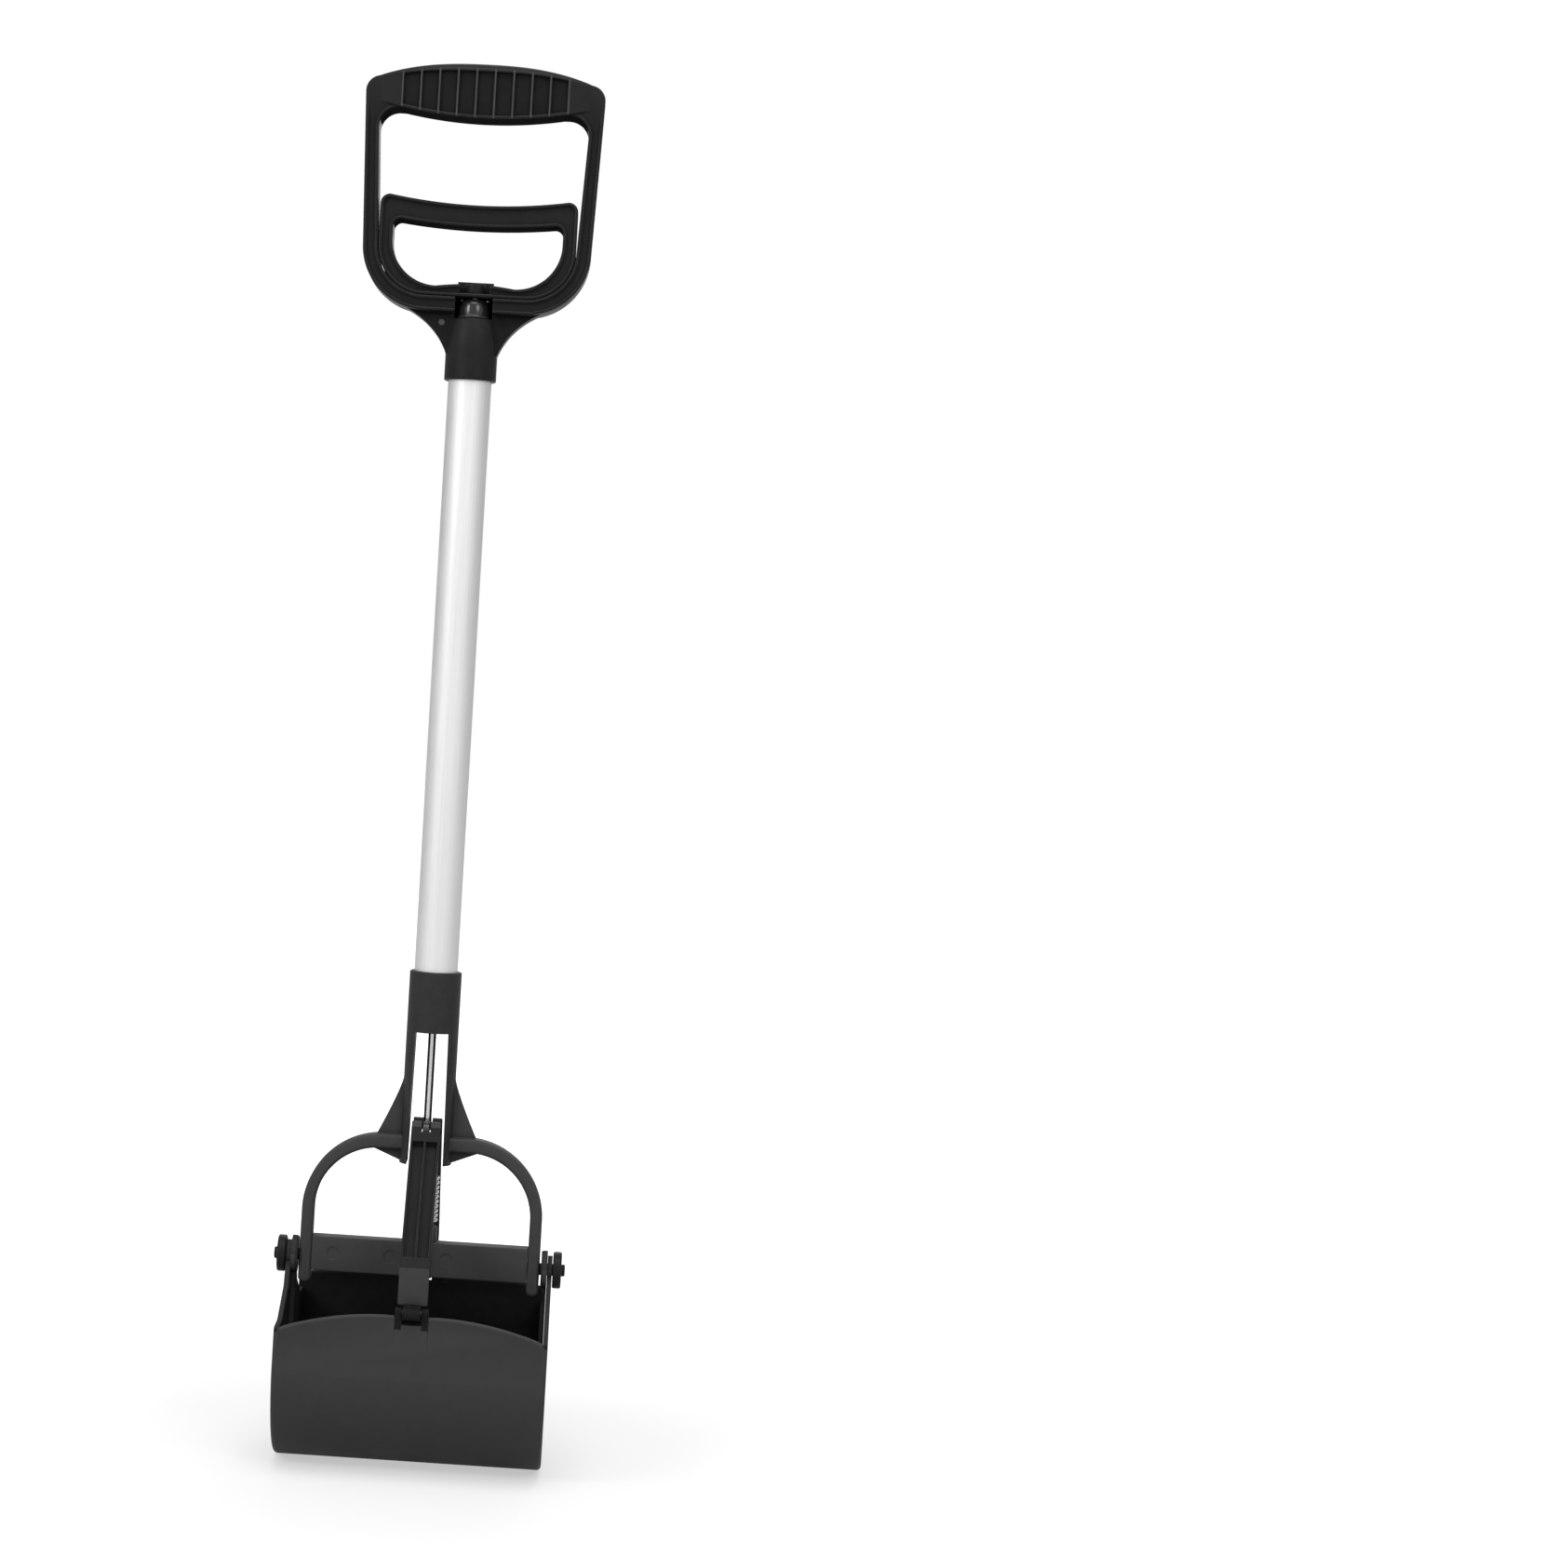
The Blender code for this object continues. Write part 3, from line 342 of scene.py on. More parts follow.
# Plastics: three colours as (red and green, blue) for the dark and light of the mottling and for the corners,
# part rubbed wear and part painted highlight (painted edge shade where darker), then roughness, grain depth,
# specular level, reach of the painted shade in hollows, and its least and start
plastics = {
    "black_nylon": ((0.015, 0.0155), (0.018, 0.0185), (0.050, 0.051), 0.38, 0.000004, 0.09, 0.010),
    # paler copy for the ribs' crests: painted highlight
    "rib_highlight_nylon": ((0.050, 0.051), (0.062, 0.063), (0.080, 0.081), 0.34, 0.000002, 0.15, 0.010),
    # darker copy for the fork's socket and legs: painted shade
    "charcoal_nylon": ((0.031, 0.032), (0.038, 0.039), (0.062, 0.064), 0.50, 0.000006, 0.09, 0.014),
    "shaded_nylon": ((0.012, 0.0125), (0.015, 0.0155), (0.060, 0.062), 0.46, 0.000006, 0.09, 0.010),
    # the jaws: painted shade far into their hollows, and darker corners as painted edge shade
    "jaw_nylon": ((0.055, 0.056), (0.058, 0.059), (0.040, 0.041), 0.52, 0.000006, 0.09, 0.120, 0.06, 0.5),
    # darker copy for the grip's bays, the webs and undersides: painted shade
    "painted_shade_nylon": ((0.0165, 0.0168), (0.0195, 0.0198), (0.040, 0.041), 0.50, 0.000004, 0, 0.010),
    "pale_nylon": ((0.085, 0.086), (0.095, 0.096), (0.095, 0.096), 0.40, 0.000002, 0.15, 0.010),
    "arm_nylon": ((0.055, 0.056), (0.059, 0.060), (0.080, 0.082), 0.50, 0.000006, 0.09, 0.010),
    # darker copy for the jaws' insides, their hinge lugs and the links' feet: painted shade
    "inner_shade_nylon": ((0.014, 0.0145), (0.017, 0.0175), (0.024, 0.0245), 0.60, 0.000006, 0.03, 0.020),
    # darker, matte copy for the side plates' upper edges: painted shade
    "plate_edge_shade_nylon": ((0.040, 0.041), (0.046, 0.047), (0.046, 0.047), 0.60, 0.000004, 0, 0.010),
    "gloss_nylon": ((0.016, 0.0165), (0.020, 0.0205), (0.030, 0.031), 0.14, 0.000001, 0.45, 0.006),
}

# Metals: dark and light, roughness, how the lines stretch, and their depth
metals = {
    "silver_tube": ((0.70, 0.705), (0.76, 0.765), 0.56, (1, 1, 0.01), 0.000002),
    # darkened steel for the eye plate and the hinge pins: painted shade
    "shaded_steel": ((0.05, 0.052), (0.08, 0.082), 0.45, (1, 1, 1), 0.000002),
    "bright_steel": ((0.56, 0.57), (0.66, 0.67), 0.22, (1, 1, 0.02), 0.000001),
}

# Noises: how many to a metre, and their detail
mottle = (160, 3)
flow = (28, 2)
grain = (3600, 2)
drawn_lines = (1800, 4)
clouds = (40, 2)

# Shares and levels of the looks, and how far a face has to be turned to count
edge_reach = 0.0007
edge_samples = 6
edge_start = 0.75
edge_full = 0.995
hollow_samples = 8
open_share = 0.95
plastic_smoother = 0.05
plastic_rougher = 0.06
metal_smoother = 0.03
metal_rougher = 0.04
face_on = 0.9
half_turned = 0.5
just_up = 0.1
underside_slope = -0.3

# Lamps: place, height that they face, side and power
lamps = {
    "left_softbox": ((-1.2, -1.3, 1.2), 0.35, 0.6, 10),
    "right_softbox": ((0.9, -1.5, 1.3), 0.35, 0.6, 5.5),
    "top_softbox": ((0, -0.7, 2.0), 0.3, 1.2, 17),
    "back_softbox": ((0.2, 1.6, 1.2), 0.35, 1.2, 6),
}

# Surround and floor: how bright they are to the camera, to mirrors and as light
world_level = 0.42
front_gloss_level = 0.85
back_gloss_level = 0.40
gloss_start = -0.5
gloss_end = 0.4
mirror_share = 0.5
floor_half = 12
floor_drop = 0.0005
floor_grey = 0.5
floor_roughness = 0.9
near_glow = 0.50
glow_start = 0.15
glow_end = 0.9

# Places worked out from the sizes above
jaw_flat_reach = jaw_radius - jaw_flat_inset
pivot_z = jaw_radius + curve_below_pivot
curve_z = jaw_radius
window_top_z = pivot_z + window_top_above_pivot
lower_rim_z = window_top_z + lower_socket_length
upper_rim_z = lower_rim_z + tube_free_length
shoulder_z = upper_rim_z + upper_socket_length
tube_foot_z = window_top_z + socket_floor + gap
tube_top_z = shoulder_z - handle_floor
hinge_z = pivot_z - hinge_below_pivot
hinge_reach = jaw_flat_reach - hinge_inset
link_foot_front = hinge_reach + link_foot_proud
link_foot_above_hinge = hinge_lug_radius + link_lug_gap
link_pin_half_length = link_half_width - link_pin_recess
hinge_lug_inner = link_barrel_half_width + hinge_side_gap
hinge_lug_outer = hinge_lug_inner + hinge_lug_width
hinge_notch_half = hinge_lug_inner - hinge_notch_step
link_pin_z = pivot_z + link_pin_above_pivot
eye_plate_foot_z = link_pin_z - eye_plate_below_pin
eye_plate_top_z = link_pin_z + eye_plate_above_pin
hub_top_z = pivot_z + hub_top_above_pivot
jaw_top_z = pivot_z - jaw_top_below_pivot
bore_radius = tube_radius + gap
socket_radius = bore_radius + socket_wall
fork_window_foot_half = link_half_width + fork_window_side_gap
fork_window_top_half = fork_window_foot_half - fork_window_taper
arch_outer_radius = arch_inner_radius + arch_thickening
arch_outer_above_pivot = arch_inner_above_pivot - arch_centre_step
arm_outer_half = arm_inner_half + arm_width
rear_half_width = arm_outer_half + jaw_arm_gap + rear_boss_height + jaw_wall
jaw_half_width = rear_half_width + jaw_side_gap + jaw_wall
frame_top_half = frame_foot_half + frame_flare
grip_half_length = frame_top_half - grip_end_inset
grip_top_rise = grip_underside_rise + grip_height
frame_pocket_radius = guide_flange_radius + frame_pocket_gap
neck_radius = frame_pocket_radius + neck_wall
foot_centre_x = frame_foot_half - frame_foot_radius
foot_centre_z = shoulder_z + frame_foot_rise + frame_foot_radius
trigger_foot_radius = frame_foot_radius - frame_bar - trigger_side_gap
trigger_half = foot_centre_x + trigger_foot_radius
trigger_foot_z = foot_centre_z - trigger_foot_radius
trigger_top_rise = trigger_underside_rise + trigger_pull_bar
guide_height = trigger_foot_z - shoulder_z - guide_below_trigger
ferrule_foot_z = trigger_foot_z + trigger_floor + gap
ferrule_top_z = ferrule_foot_z + ferrule_height

# Guide bodies of the Booleans, which go when their piece is settled, and the materials by name
guides = []
paints = {}


def add_object(bm):
    """Turn a bmesh into an object whose faces point out."""
    bmesh.ops.recalc_face_normals(bm, faces=bm.faces)
    mesh = bpy.data.meshes.new("piece")
    bm.to_mesh(mesh)
    bm.free()
    made = bpy.data.objects.new("piece", mesh)
    bpy.context.scene.collection.objects.link(made)
    return made


def join(piece, *others, operation="UNION"):
    """Fuse guide bodies on, each by an exact Boolean; the bodies go once that has done its work."""
    for other in others:
        guides.append(other)
        step = piece.modifiers.new("join", "BOOLEAN")
        step.operation = operation
        step.solver = "EXACT"
        step.object = other


def cut(piece, *others):
    """Subtract guide bodies."""
    join(piece, *others, operation="DIFFERENCE")


def round_edges(piece, width, segments=edge_segments):
    """Round the sharp edges that a piece has at this point of its modifiers."""
    step = piece.modifiers.new("round", "BEVEL")
    step.width = width
    step.segments = segments
    step.limit_method = "ANGLE"
    step.angle_limit = bevel_angle


def arc(centre, radius, start, end, steps=arc_steps):
    """Points of an arc between two angles in degrees, both ends included."""
    angles = np.radians(np.linspace(start, end, fineness * steps + 1))
    return [(centre[0] + radius * math.cos(a), centre[1] + radius * math.sin(a)) for a in angles]


def curve(start, handle, end, steps=arc_steps):
    """Points of a quadratic curve from start to end, pulled towards its handle."""
    p, q, r = (np.array(point) for point in (start, handle, end))
    shares = np.linspace(0, 1, fineness * steps + 1)
    return [tuple((1 - t) ** 2 * p + 2 * t * (1 - t) * q + t ** 2 * r) for t in shares]


def mirrored(right):
    """An outline's right half, followed by its left half."""
    return right + [(-u, v) for u, v in reversed(right) if u > 0]


def prism(outline, low, high, axis="Y"):
    """Extrude an outline along Y from (x, z) points, or along X from (y, z) points."""
    bm = bmesh.new()
    place = {"Y": lambda u, v, w: (u, w, v), "X": lambda u, v, w: (w, u, v)}[axis]
    face = bm.faces.new([bm.verts.new(place(u, v, low)) for u, v in outline])
    moved = bmesh.ops.extrude_face_region(bm, geom=[face])
    top = [item for item in moved["geom"] if isinstance(item, bmesh.types.BMVert)]
    bmesh.ops.translate(bm, verts=top, vec=Vector(place(0, 0, high - low)))
    return add_object(bm)


def rectangle(low, high):
    """Outline of a rectangle between two corners."""
    return [low, (high[0], low[1]), high, (low[0], high[1])]


def block(low, high):
    """A box between two corners."""
    return prism(rectangle(low[::2], high[::2]), low[1], high[1])


def facing(side, points):
    """Turn (outward, z) points into (y, z) points on the front or the rear side."""
    return [(side * reach, z) for reach, z in points]


def slab(side, outline, half):
    """Extrude (outward, z) points of the front or the rear side to both sides of the middle."""
    return prism(facing(side, outline), -half, half, "X")


def both(action, piece, side, outline, near, far):
    """Cut or join one shape of a side on the right and on the left, between two distances."""
    for across in (1, -1):
        action(piece, prism(facing(side, outline), *sorted((across * near, across * far)), "X"))


def skin(bm, rings, closed=False):
    """Faces between loops of vertices, joined end to end or with a flat face at each end."""
    for here, there in zip(rings, rings[1:] + rings[:1] if closed else rings[1:]):
        for corners in zip(here, here[1:] + here[:1], there[1:] + there[:1], there):
            bm.faces.new(corners)
    if not closed:
        bm.faces.new(rings[0])
        bm.faces.new(rings[-1])
    return add_object(bm)


def turned(profile, centre=(0, 0, 0), axis="Z", steps=round_steps, closed=False):
    """Spin a (radius, height) profile round an axis, as a solid or, when closed, as a ring."""
    bm = bmesh.new()
    place = {"X": lambda a, b, h: (h, a, b), "Y": lambda a, b, h: (a, h, b),
             "Z": lambda a, b, h: (a, b, h)}[axis]
    angles = [2 * math.pi * (step + 0.5) / steps for step in range(steps)]
    rings = []
    for radius, height in profile:
        points = [place(radius * math.cos(angle), radius * math.sin(angle), height) for angle in angles]
        rings.append([bm.verts.new(Vector(point) + Vector(centre)) for point in points])
    return skin(bm, rings, closed)


def bar(radius, low, high, centre=(0, 0, 0), axis="Z", steps=small_steps, edge=0):
    """A solid round bar, with chamfered ends where an edge is given."""
    profile = [(radius, low), (radius, high)]
    if edge:
        profile = [(radius - edge, low), (radius, low + edge), (radius, high - edge), (radius - edge, high)]
    return turned(profile, centre, axis, steps)


def lying(radius, half, reach, z, edge=0):
    """A round bar that lies across the scooper."""
    return bar(radius, -half, half, (0, reach, z), "X", edge=edge)


def rivet_hole(z):
    """Cutter for a rivet's hole through the back of a socket or the tube."""
    return bar(rivet_radius + gap, 0, socket_radius + overrun, (0, 0, z), "Y")


def stadium(start, end, radius, steps=stadium_steps):
    """Outline of two half circles joined by straight sides."""
    angle = math.degrees(math.atan2(end[1] - start[1], end[0] - start[0]))
    outline = arc(end, radius, angle - 90, angle + 90, steps)
    return outline + arc(start, radius, angle + 90, angle + 270, steps)


def inset(outline, width):
    """A closed outline moved inwards by a width, or outwards by a negative one."""
    points = [np.array(point) for point in outline]
    after = points[1:] + points[:1]
    area = sum(a[0] * b[1] - b[0] * a[1] for a, b in zip(points, after))
    moved = []
    for start, here, end in zip(points[-1:] + points[:-1], points, after):
        sides = []
        for step in (here - start, end - here):
            step = step / np.linalg.norm(step)
            sides.append(math.copysign(1, area) * np.array((-step[1], step[0])))
        middle = (sides[0] + sides[1]) / np.linalg.norm(sides[0] + sides[1])
        moved.append(tuple(here + middle * width / max(least_miter, middle @ sides[0])))
    return moved


def ring(profile, centre=(0, 0, 0), axis="Z"):
    """Spin a closed (radius, height) profile round an axis, for a piece with a bore."""
    return turned(profile, centre, axis, closed=True)


def rounded(inner, outer, low, high, width):
    """Profile of a bored round piece whose outer corners are rounded."""
    profile = [(inner, low)] + arc((outer - width, low + width), width, -90, 0, tiny_steps)
    return profile + arc((outer - width, high - width), width, 0, 90, tiny_steps) + [(inner, high)]


def bead(path, radius, depth):
    """A round bead along (x, z) points at one depth, with its ends drawn in."""
    bm = bmesh.new()
    rings = []
    points = [np.array(point) for point in path]
    last = len(points) - 1
    for index, here in enumerate(points):
        along = points[min(index + 1, last)] - points[max(index - 1, 0)]
        along = along / np.linalg.norm(along)
        normal = np.array((-along[1], along[0]))
        thick = radius * (bead_end_share if index in (0, last) else 1)
        loop = []
        for step in range(bead_steps):
            angle = 2 * math.pi * step / bead_steps
            x, z = here + normal * thick * math.sin(angle)
            loop.append(bm.verts.new((x, depth + thick * math.cos(angle), z)))
        rings.append(loop)
    return skin(bm, rings)


def crown(x):
    """Height of the grip's crown."""
    top = shoulder_z + grip_top_rise - crown_drop
    return top - grip_top_fall * (abs(x) / grip_half_length) ** grip_crown_power


def corner_lean():
    """Slope angle of the crown where it meets the frame's corners."""
    return math.atan(grip_top_fall * grip_crown_power / grip_half_length)


def corner_rise():
    """How far the crown's curve passes above the frame's rounded corners."""
    touch = frame_top_half - frame_corner_round * (1 - math.sin(corner_lean()))
    corner_top = shoulder_z + grip_top_rise - grip_top_fall - corner_drop
    return crown(touch) + frame_corner_round * (1 - math.cos(corner_lean())) - corner_top


def oval(centre, wide, high, start, end, steps=corner_steps):
    """Points of a quarter of an oval."""
    return [(centre[0] + wide * u, centre[1] + high * v) for u, v in arc((0, 0), 1, start, end, steps)]


def rib_places():
    """Where the ribs stand along the grip."""
    return [(index - (grip_rib_count - 1) / 2) * grip_rib_pitch for index in range(grip_rib_count)]


def make_grip():
    """The crowned grip: a lofted panel, sunk on its front and back between thin upright ribs."""
    ribs = rib_places()
    half_length = frame_top_half - frame_corner_round
    drop = corner_rise()
    places = [(x, 0) for x in np.linspace(-half_length, ribs[0] - rib_crest / 2, grip_end_steps)]
    for here, there in zip(ribs, ribs[1:]):
        start, end = here + rib_crest / 2, there - rib_crest / 2
        places.append((start, 0))
        places += [(x, 1) for x in np.linspace(start + rib_slope, end - rib_slope, bay_steps)]
        places.append((end, 0))
    places += [(-x, sunk) for x, sunk in reversed(places[:grip_end_steps])]
    bm = bmesh.new()
    rings = []
    for x, sunk in places:
        low = shoulder_z + grip_underside_rise + grip_underside_climb * (x / grip_half_length) ** 2
        end = (x / half_length) ** 2
        high = crown(x) - drop * end
        reach = (grip_depth + (frame_depth - grip_depth) * end) / 2 + small_round / 8
        floor = reach - sunk * panel_depth
        head = panel_head + (2 * rim_round - panel_head) * end
        wide = crown_share * reach * (1 - end) + 2 * rim_round * end
        back = panel_back_foot + (2 * rim_round - panel_back_foot) * end
        section = []
        for side, foot, margin in ((-1, panel_foot, panel_margin), (1, back, back + small_round)):
            half = oval((reach - 2 * foot, low + foot), 2 * foot, foot, -90, 0)
            half += [(reach, low + margin), (floor, low + margin + rib_slope),
                     (floor, high - head - rib_slope), (reach, high - head - small_round / 2)]
            half += oval((reach - wide, high - head), wide, head, 0, 90)
            section.append([(side * y, z) for y, z in half])
        rings.append([bm.verts.new((x, y, z)) for y, z in section[0] + section[1][::-1]])
    return skin(bm, rings)


def channel(outer, inner, half_depth, side, top):
    """Cutter for the band between a flat frame's rims, on its front or its back, up to a height."""
    start, end = sorted((side * (half_depth - rim_proud), side * (half_depth + overrun)))
    band = prism(inset(outer, rim_width), start, end)
    cut(band, prism(inset(inner, -rim_width), start - overrun, end + overrun))
    wide = frame_top_half + overrun
    floor, face = side * (half_depth - rim_proud), side * half_depth
    far = face + (face - floor) * overrun / rim_proud
    fade = channel_fade * (1 + overrun / rim_proud)
    limit = [(floor, top), (far, top + fade), (far, top + frame_foot_half),
             (floor - side * overrun, top + frame_foot_half), (floor - side * overrun, top)]
    cut(band, prism(limit, -wide, wide, "X"))
    return band


def flat_frame(outer, inner, depth, top):
    """A flat frame between two outlines, its edges rounded, with a channel along its front and back."""
    piece = prism(outer, -depth / 2, depth / 2)
    cut(piece, prism(inner, -depth, depth))
    round_edges(piece, rim_round, fine_segments)
    for side in (-1, 1):
        cut(piece, channel(outer, inner, depth / 2, side, top))
    return piece


def make_handle_frame():
    """The D frame with its grip, its socket, its webs and the rims along its edges."""
    foot_z = shoulder_z + frame_foot_rise
    half_length = frame_top_half - frame_corner_round
    touch = half_length + frame_corner_round * math.sin(corner_lean())
    corner = (half_length, shoulder_z + grip_top_rise - grip_top_fall - corner_drop - frame_corner_round)
    right = [(0, foot_z)] + arc((foot_centre_x, foot_centre_z), frame_foot_radius, -90, 0)
    right += arc(corner, frame_corner_round, 0, 90 - math.degrees(corner_lean()), bend_steps)
    for x in np.linspace(touch, 0, crown_steps)[1:]:
        sunk = grip_core_inset * max(0, 1 - (x / half_length) ** 2)
        right.append((x, crown(x) - corner_rise() - small_round / 4 - sunk))
    outer = mirrored(right)

    throat_z = shoulder_z + grip_underside_rise + frame_throat_climb
    throat = (frame_top_half - frame_bar - frame_throat_round, throat_z - frame_throat_round)
    inner_radius = frame_foot_radius - frame_bar
    inside = [(0, foot_centre_z - inner_radius)]
    inside += arc((foot_centre_x, foot_centre_z), inner_radius, -90, 0)
    inside += arc(throat, frame_throat_round, 0, 90, bend_steps)
    inside += [(0, shoulder_z + grip_underside_rise + grip_core_inset)]
    piece = flat_frame(outer, mirrored(inside), frame_depth, throat[1] + channel_climb)
    join(piece, make_grip())

    rim = (socket_radius - socket_rim_round, upper_rim_z + socket_rim_round)
    profile = arc(rim, socket_rim_round, -90, 0, lip_steps)
    profile += curve((socket_radius, shoulder_z - 2 * neck_drop), (socket_radius, shoulder_z - neck_drop),
                     (neck_radius + gap, shoulder_z - 3 * socket_rim_round), lip_steps)
    profile += arc((neck_radius - 2 * socket_rim_round, shoulder_z - 2 * socket_rim_round),
                   2 * socket_rim_round, 0, neck_sweep, tiny_steps)
    profile += [(neck_radius - 2 * socket_rim_round, shoulder_z + gap)]
    join(piece, turned(profile))
    along = web_reach - foot_centre_x
    web_top = foot_centre_z - math.sqrt(frame_foot_radius ** 2 - along ** 2) + gap
    web = [(0, web_top), (web_reach, web_top)]
    web += curve((web_reach, web_top), (web_bend_half, shoulder_z - web_bend_drop),
                 (web_start_half, shoulder_z - web_start_drop))[1:]
    web += [(0, shoulder_z - web_start_drop)]
    plate = prism(mirrored(web), -web_thickness / 2, web_thickness / 2)
    round_edges(plate, small_round, fine_segments)
    cut(plate, bar(mark_radius, -web_thickness, mark_depth - web_thickness / 2,
                   (-frame_mark_reach, 0, shoulder_z - frame_mark_drop), "Y"))
    join(piece, plate)
    lip_top = foot_z + frame_bar + lip_rise
    cup = turned([(neck_radius, shoulder_z - 2 * socket_rim_round), (neck_radius, foot_z + frame_bar - gap)])
    cut(cup, block((-frame_depth, -frame_depth, 0), (frame_depth, 0, shoulder_z + frame_depth)))
    lip_radius = neck_radius - running_gap
    lip = turned([(lip_radius, foot_z + gap), (lip_radius, lip_top)])
    cut(lip, block((-frame_depth, -frame_depth, 0), (frame_depth, trigger_depth / 2 + gap, 2 * lip_top)))
    join(piece, cup, lip)

    pocket_top = lip_top + overrun
    cut(piece, bar(frame_pocket_radius, shoulder_z, pocket_top, steps=round_steps))
    cut(piece, block((-frame_pocket_radius, -frame_depth, shoulder_z), (frame_pocket_radius, 0, pocket_top)))
    cut(piece, bar(bore_radius, upper_rim_z - overrun, tube_top_z + gap, steps=round_steps))
    cut(piece, bar(guide_spigot_radius + gap, tube_top_z - overrun, shoulder_z + overrun))
    cut(piece, rivet_hole(upper_rim_z + rivet_inset))
    return piece


def make_trigger():
    """The pull bar, its two sides and the foot bar with the ferrule's pocket, rimmed all round."""
    top = shoulder_z + trigger_top_rise
    shoulder = top + trigger_top_climb
    corner = (trigger_half - trigger_corner_round, shoulder - trigger_corner_round)
    right = [(0, trigger_foot_z)] + arc((foot_centre_x, foot_centre_z), trigger_foot_radius, -90, 0)
    right += arc(corner, trigger_corner_round, 0, 90, bend_steps)
    right += curve((corner[0], shoulder), (corner[0] / 2, top), (0, top))[1:]
    outer = inset(mirrored(right), -trigger_swell)
    under = shoulder_z + trigger_underside_rise
    throat_z = under + trigger_underside_climb
    inner_half = trigger_half - trigger_bar
    hollow_z = trigger_foot_z + trigger_foot_bar + trigger_hollow_radius
    throat = (inner_half - trigger_throat_round, throat_z - trigger_throat_round)
    hollow = arc((inner_half - trigger_hollow_radius, hollow_z), trigger_hollow_radius, -90, 0)
    crown_z = hollow[0][1] + trigger_foot_crown
    inside = curve((0, crown_z), (trigger_crown_reach / 2, crown_z), hollow[0], few_steps) + hollow[1:]
    inside += arc(throat, trigger_throat_round, 0, 90, corner_steps)
    inside += curve((throat[0], throat_z), (throat[0] / 2, under), (0, under))[1:]
    piece = flat_frame(outer, mirrored(inside), trigger_depth, shoulder)
    half = trigger_depth / 2
    lip_half = trigger_pocket_half + trigger_floor
    join(piece, block((-lip_half, half - trigger_back_wall, crown_z - trigger_floor),
                      (lip_half, half, crown_z + lip_rise)))
    pocket_top = crown_z + lip_rise + overrun
    cut(piece, block((-trigger_pocket_half, -trigger_depth, trigger_foot_z + trigger_floor),
                     (trigger_pocket_half, half - trigger_back_wall, pocket_top)))
    cut(piece, bar(rod_radius + running_gap, trigger_foot_z - overrun, pocket_top))
    return piece


def make_fork():
    """Socket and legs from one round bar, then the arches, arms and gussets."""
    rim = (socket_radius - socket_rim_round, lower_rim_z - socket_rim_round)
    foot_z = pivot_z + fork_foot_above_pivot
    fork = turned([(socket_radius, foot_z)] + arc(rim, socket_rim_round, 0, 90, lip_steps))
    window = [(-fork_window_foot_half, foot_z - overrun), (fork_window_foot_half, foot_z - overrun),
              (fork_window_foot_half, foot_z), (fork_window_top_half, window_top_z),
              (-fork_window_top_half, window_top_z), (-fork_window_foot_half, foot_z)]
    inner_z = pivot_z + arch_inner_above_pivot
    outer_z = pivot_z + arch_outer_above_pivot
    inner_top = inner_z + arch_inner_radius
    outer_top = outer_z + arch_outer_radius
    tip_round = arm_width / 2 - gap
    tip_z = pivot_z - arm_tip_drop + tip_round
    outline = [(fork_window_foot_half, inner_top)]
    outline += arc((arm_inner_half - arch_inner_radius, inner_z), arch_inner_radius, 90, 0, wide_steps)
    outline += arc((arm_inner_half + tip_round, tip_z), tip_round, 180, 270, corner_steps)
    outline += arc((arm_outer_half - tip_round, tip_z), tip_round, 270, 360, corner_steps)
    outline += arc((arm_outer_half - arch_outer_radius, outer_z), arch_outer_radius, 0, 90, wide_steps)
    outline += [(fork_window_foot_half, outer_top)]
    band_middle = (inner_top + outer_top) / 2
    gusset = [(fork_window_foot_half, foot_z), (gusset_foot_start, foot_z)]
    gusset += [(gusset_foot_reach, inner_top + gap), (gusset_foot_reach, band_middle)]
    gusset += curve((gusset_top_reach, band_middle), (socket_radius, pivot_z + gusset_bend_above_pivot),
                    (socket_radius - running_gap, pivot_z + gusset_top_above_pivot))
    gusset += [(fork_window_foot_half, pivot_z + gusset_top_above_pivot)]
    for side in (1, -1):
        arm = prism([(side * x, z) for x, z in outline], -arm_depth / 2, arm_depth / 2)
        round_edges(arm, arm_round)
        rib = prism([(side * x, z) for x, z in gusset], -gusset_thickness / 2, gusset_thickness / 2)
        join(fork, arm, rib)
    cut(fork, prism(window, -socket_radius - overrun, socket_radius + overrun))
    cut(fork, bar(bore_radius, tube_foot_z - gap, lower_rim_z + overrun, steps=round_steps))
    cut(fork, bar(rod_radius + running_gap, window_top_z - overrun, lower_rim_z))
    cut(fork, rivet_hole(lower_rim_z - rivet_inset))
    cut(fork, lying(pivot_pin_radius + gap, arm_outer_half + overrun, 0, pivot_z))
    return fork


def make_crossbar():
    """The bar between the arms, with the spring's hub and the pins' seats."""
    end = arm_inner_half - small_round / 8
    crossbar = block((-end, -crossbar_depth / 2, pivot_z - crossbar_below_pivot),
                     (end, crossbar_depth / 2, pivot_z + crossbar_above_pivot))
    round_edges(crossbar, small_round)
    profile = [(hub_radius - hub_round, pivot_z - crossbar_below_pivot)]
    profile += [(hub_radius, pivot_z - crossbar_below_pivot + hub_round)]
    profile += arc((hub_radius - hub_round, hub_top_z - hub_round), hub_round, 0, 90, lip_steps)
    join(crossbar, turned(profile))
    bore_foot = hub_top_z - spring_leg_length - spring_bore_spare
    cut(crossbar, bar(spring_bore_radius, bore_foot, hub_top_z + overrun))
    seat = arm_inner_half - pivot_pin_seat - gap
    for side in (1, -1):
        ends = sorted((side * seat, side * (arm_inner_half + overrun)))
        cut(crossbar, bar(pivot_pin_radius + gap, *ends, (0, 0, pivot_z), "X"))
    for reach in crossbar_mark_reaches:
        cut(crossbar, bar(broad_mark_radius, -crossbar_depth / 2 - overrun,
                          -crossbar_depth / 2 + mark_depth, (reach, 0, pivot_z + crossbar_mark_rise), "Y"))
    return crossbar


